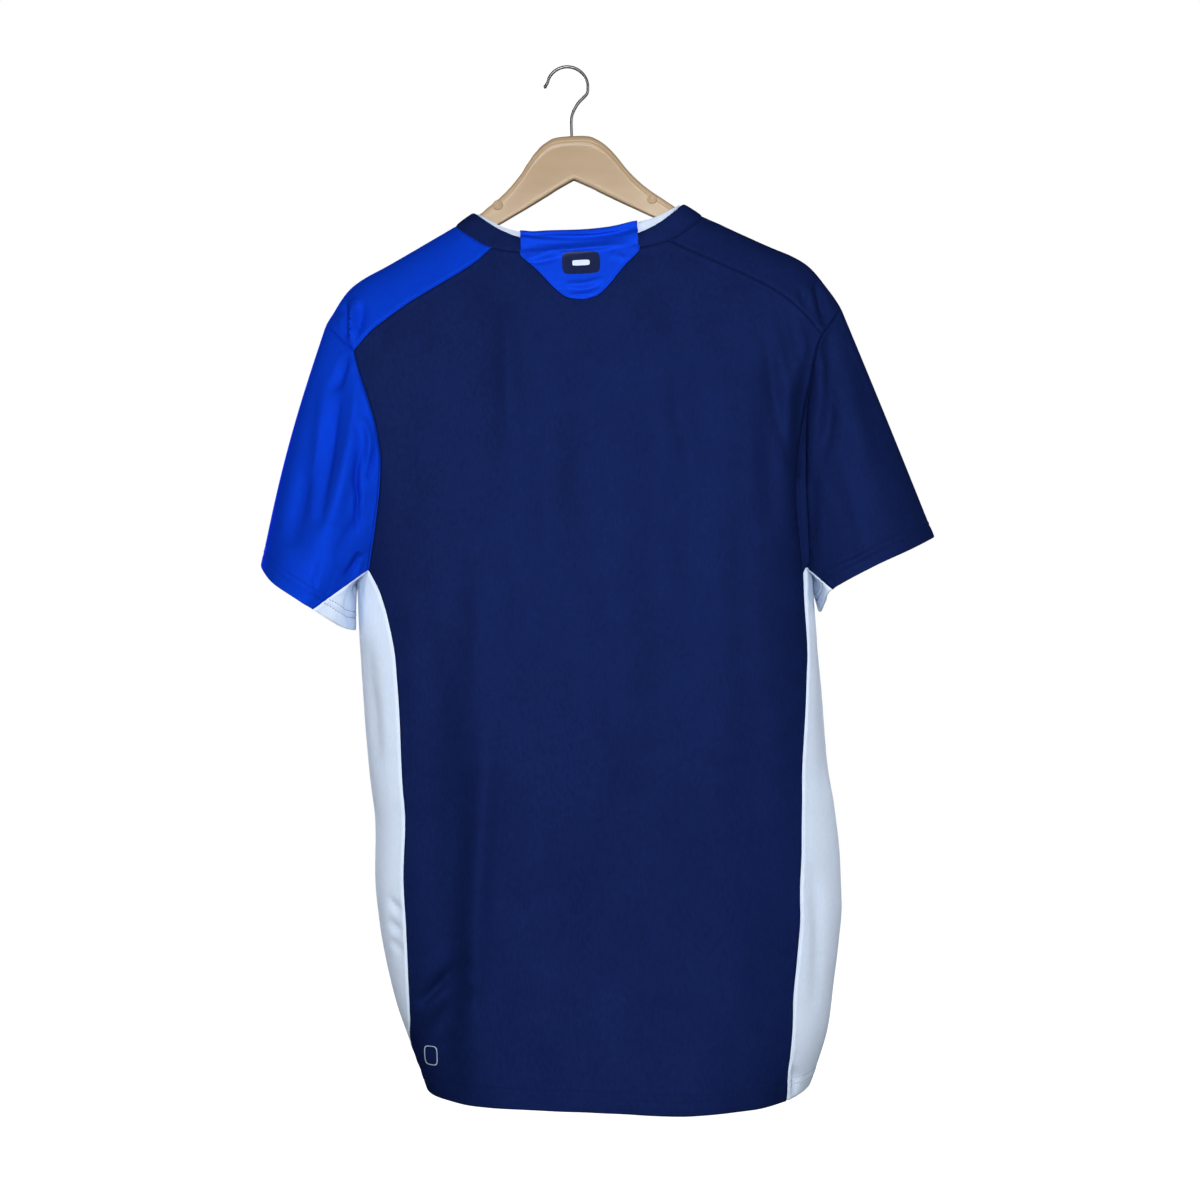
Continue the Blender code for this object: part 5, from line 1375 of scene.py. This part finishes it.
def knit(name, colour, roughness, satin, sheen, mottle):
    """Knit cloth: columns of small V stitches, mottled yarn, painted shade in the stitches' valleys and a
    soft sheen.
    """
    n = Finish(name, colour, roughness, metallic=satin, specular=0.0)
    split = n.put("ShaderNodeSeparateXYZ", {0: n.put("ShaderNodeUVMap", uv_map="cloth").outputs["UV"]})
    wale = n.math("FRACT", n.math("DIVIDE", split.outputs["X"], WALE))
    lean = n.math("ABSOLUTE", n.math("SUBTRACT", wale, 0.5))
    course = n.math("ADD", n.math("DIVIDE", split.outputs["Y"], COURSE), n.math("MULTIPLY", lean, 1.4))
    loop = n.math("MULTIPLY_ADD", n.math("COSINE", n.math("MULTIPLY", course, 2 * math.pi)), 0.32, 0.68)
    rib = n.math("SINE", n.math("MULTIPLY", wale, math.pi))
    stitch = n.math("MULTIPLY", n.math("POWER", n.math("MAXIMUM", rib, 0.0), 0.6), loop)
    fine, broad = n.noise(n.place((1.0, 1.0, 0.45)), 420.0), n.noise(n.place(), 38.0, 3.0, 0.55)
    tone = n.math("ADD", n.math("MULTIPLY", fine, 0.55), n.math("MULTIPLY", broad, 0.25))
    # painted shade: the stitch height darkens the colour in the knit's valleys and lightens it on the loops
    tone = n.math("ADD", tone, n.math("MULTIPLY", stitch, 0.2))
    low, high = ([c * (1 + 1.6 * mottle * sign) for c in colour] for sign in (-1, 1))
    n.look({"Base Color": n.blend(tone, low, high), "Specular Tint": tinted(colour, 0.02, 1.6),
            "Sheen Weight": sheen, "Sheen Roughness": 0.45, "Sheen Tint": tinted(colour, 0.05, 1.5),
            "Normal": n.bump(stitch, YARN_RELIEF, 0.8, n.bump(fine, FUZZ_RELIEF, 0.35))})
    return n.made


# Thread and print: a fine grain's scale, contrast in colour, and relief
THREAD_GRAIN, PRINT_GRAIN = table("scale contrast relief", (2600.0, 0.35, 0.00006), (800.0, 0.12, 0.00004))


def grained(name, colour, roughness, specular, grain):
    """Thread or print, with its grain."""
    n = Finish(name, colour, roughness, specular=specular)
    fine = n.noise(n.place(), grain.scale)
    low, high = ([c * (1 + sign * grain.contrast) for c in colour] for sign in (-1, 1))
    n.look({"Base Color": n.blend(fine, low, high), "Normal": n.bump(fine, grain.relief, 0.6),
            "Roughness": n.math("MULTIPLY_ADD", fine, 0.3, roughness - 0.15)})
    return n.made


def hanger_plastic():
    """Moulded plastic in a light wood tone, paler towards the arms' ends."""
    n = Finish("hanger_plastic", (0.35, 0.235, 0.122), 0.45, specular=0.15)
    spot = n.place()
    cloud, grain = n.noise(n.place((0.5, 1.0, 1.6)), 42.0, 3.0, 0.55), n.noise(spot, 900.0)
    apart = n.put("ShaderNodeSeparateXYZ", {0: spot}).outputs["X"]
    far = n.ramp(n.math("ABSOLUTE", apart), 0.03, 0.085, "SMOOTHSTEP")
    tone = n.math("MULTIPLY_ADD", far, 0.34, n.math("MULTIPLY", cloud, 0.62))
    n.look({"Base Color": n.blend(tone, (0.302, 0.202, 0.106), (0.458, 0.338, 0.216)),
            "Normal": n.bump(grain, 0.00008, 0.5, n.bump(cloud, 0.0006, 0.4)),
            "Coat Weight": 0.16, "Coat Roughness": 0.16})
    return n.made


def hook_steel():
    """Bright drawn wire."""
    n = Finish("hook_steel", (0.115, 0.12, 0.125), 0.28, metallic=1.0)
    n.look({"Normal": n.bump(n.noise(n.place(), 700.0), 0.00001, 0.5)})
    return n.made


KNITS = table(
    "name colour roughness satin sheen mottle",
    ("navy_knit", (0.0069, 0.0158, 0.083), 0.62, 0.45, 0.03, 0.30),
    ("royal_knit", (0.0030, 0.045, 0.560), 0.60, 0.50, 0.04, 0.15),
    ("pale_knit", (0.69, 0.80, 0.97), 0.66, 0.08, 0.03, 0.07),
    # painted light: the tab's knit is royal_knit made brighter, as if it were lit more
    ("tab_knit", (0.0045, 0.054, 0.66), 0.55, 0.50, 0.04, 0.13),
    # painted shade: the facing's knit is pale_knit made darker, as if it lay in shade
    ("facing_knit", (0.58, 0.66, 0.82), 0.66, 0.10, 0.03, 0.10))
GRAINED = table(
    "name colour roughness specular grain",
    ("navy_thread", (0.0030, 0.0085, 0.050), 0.6, 0.03, THREAD_GRAIN),
    ("royal_thread", (0.0006, 0.022, 0.29), 0.6, 0.03, THREAD_GRAIN),
    ("grey_thread", (0.26, 0.33, 0.46), 0.6, 0.05, THREAD_GRAIN),
    ("badge_navy", (0.003, 0.009, 0.05), 0.4, 0.12, PRINT_GRAIN),
    ("badge_pale", (0.62, 0.70, 0.86), 0.4, 0.3, PRINT_GRAIN),
    ("mark_pale", (0.42, 0.48, 0.60), 0.45, 0.2, PRINT_GRAIN))


def all_finishes():
    made = {row.name: knit(*row) for row in KNITS}
    made.update((row.name, grained(*row)) for row in GRAINED)
    made.update(hanger_plastic=hanger_plastic(), hook_steel=hook_steel())
    return made


# ---------------------------------------------------------------- stage

CAMERA_DISTANCE, CAMERA_AIM, CAMERA_ROLL = 2200.0, (9.4, -468.5), math.radians(2.4)
FRAME_WIDTH, SENSOR_WIDTH = 1056.0, 36.0
FLOOR_Z, FLOOR_REACH = -1010.0, 25.0
BACKGROUND, FLOOR_GLOW, AMBIENT = 1.0, 0.86, 0.10
LAMP_AIM = (0, 0, -0.45)
LAMPS = table(
    "name place size power",
    ("key", (0.12, -2.1, -0.12), 0.65, 36), ("left", (-2.0, -1.45, -0.2), 0.7, 17),
    ("right", (2.1, -1.3, 0.15), 0.7, 11.5), ("top", (0.45, -1.9, 1.35), 0.3, 7),
    ("front", (-1.0, 2.3, 0.3), 1.4, 84), ("far_right", (1.9, 1.9, 0.1), 0.9, 20))


def make_camera():
    camera = bpy.data.cameras.new("camera")
    camera.sensor_width = SENSOR_WIDTH
    camera.lens = SENSOR_WIDTH * CAMERA_DISTANCE / FRAME_WIDTH
    camera.clip_end = 60.0
    eye = add_to_scene("camera", camera)
    eye.location = (CAMERA_AIM[0] * MM, -CAMERA_DISTANCE * MM, CAMERA_AIM[1] * MM)
    eye.rotation_euler = (math.radians(90), CAMERA_ROLL, 0)
    bpy.context.scene.camera = eye


def make_floor():
    """White floor that turns into the white background away from the object."""
    mesh = bpy.data.meshes.new("floor")
    corners = [(x * FLOOR_REACH, y * FLOOR_REACH, 0) for x, y in ((-1, -1), (1, -1), (1, 1), (-1, 1))]
    mesh.from_pydata(corners, [], [(0, 1, 2, 3)])
    floor = add_to_scene("floor", mesh)
    floor.location.z = FLOOR_Z * MM
    floor.visible_diffuse = False
    floor.visible_glossy = False
    n = Finish("floor", (0.30, 0.30, 0.30), 0.9, specular=0.0)
    length = n.put("ShaderNodeVectorMath", {0: n.place()}, operation="LENGTH").outputs["Value"]
    fade = n.ramp(length, 0.3, 2.2, "SMOOTHERSTEP")
    glow, under = (n.put("ShaderNodeEmission", {"Strength": strength}).outputs[0]
                   for strength in (BACKGROUND, FLOOR_GLOW))
    near = n.put("ShaderNodeAddShader", {0: n.shader.outputs[0], 1: under}).outputs[0]
    mix = n.put("ShaderNodeMixShader", {0: fade, 1: near, 2: glow}).outputs[0]
    n.feed(n.tree.nodes["Material Output"], {"Surface": mix})
    mesh.materials.append(n.made)


def make_world():
    """White seen behind the object, softer as light on it."""
    world = bpy.data.worlds.new("world")
    bpy.context.scene.world = world
    world.use_nodes = True
    n = Nodes(world.node_tree)
    seen = n.feed(n.tree.nodes["Background"], {"Color": (1, 1, 1, 1), "Strength": BACKGROUND}).outputs[0]
    lit = n.put("ShaderNodeBackground", {"Color": (1, 1, 1, 1), "Strength": AMBIENT}).outputs[0]
    path = n.put("ShaderNodeLightPath").outputs["Is Camera Ray"]
    mix = n.put("ShaderNodeMixShader", {0: path, 1: lit, 2: seen}).outputs[0]
    n.feed(n.tree.nodes["World Output"], {"Surface": mix})


def make_lights():
    for lamp in LAMPS:
        light = bpy.data.lights.new(lamp.name, "AREA")
        light.size, light.energy = lamp.size, lamp.power
        thing = add_to_scene(lamp.name, light)
        thing.location = lamp.place
        aim = Vector(LAMP_AIM) - Vector(lamp.place)
        thing.rotation_euler = aim.to_track_quat("-Z", "Y").to_euler()
        thing.visible_camera = False


def main():
    bpy.context.scene.view_settings.view_transform = "Standard"
    make_camera()
    make_floor()
    make_world()
    make_lights()
    finishes = all_finishes()
    outer, normals = dress_cloth(finishes)
    band, facing = dress_collar(outer, finishes)
    tab = dress_tab(outer, band, facing, finishes)
    sew_hems(outer, normals, finishes)
    sew_tab(tab, finishes)
    add_prints(outer, tab, finishes)
    dress_hanger(finishes)
    dress_hook(finishes)


main()
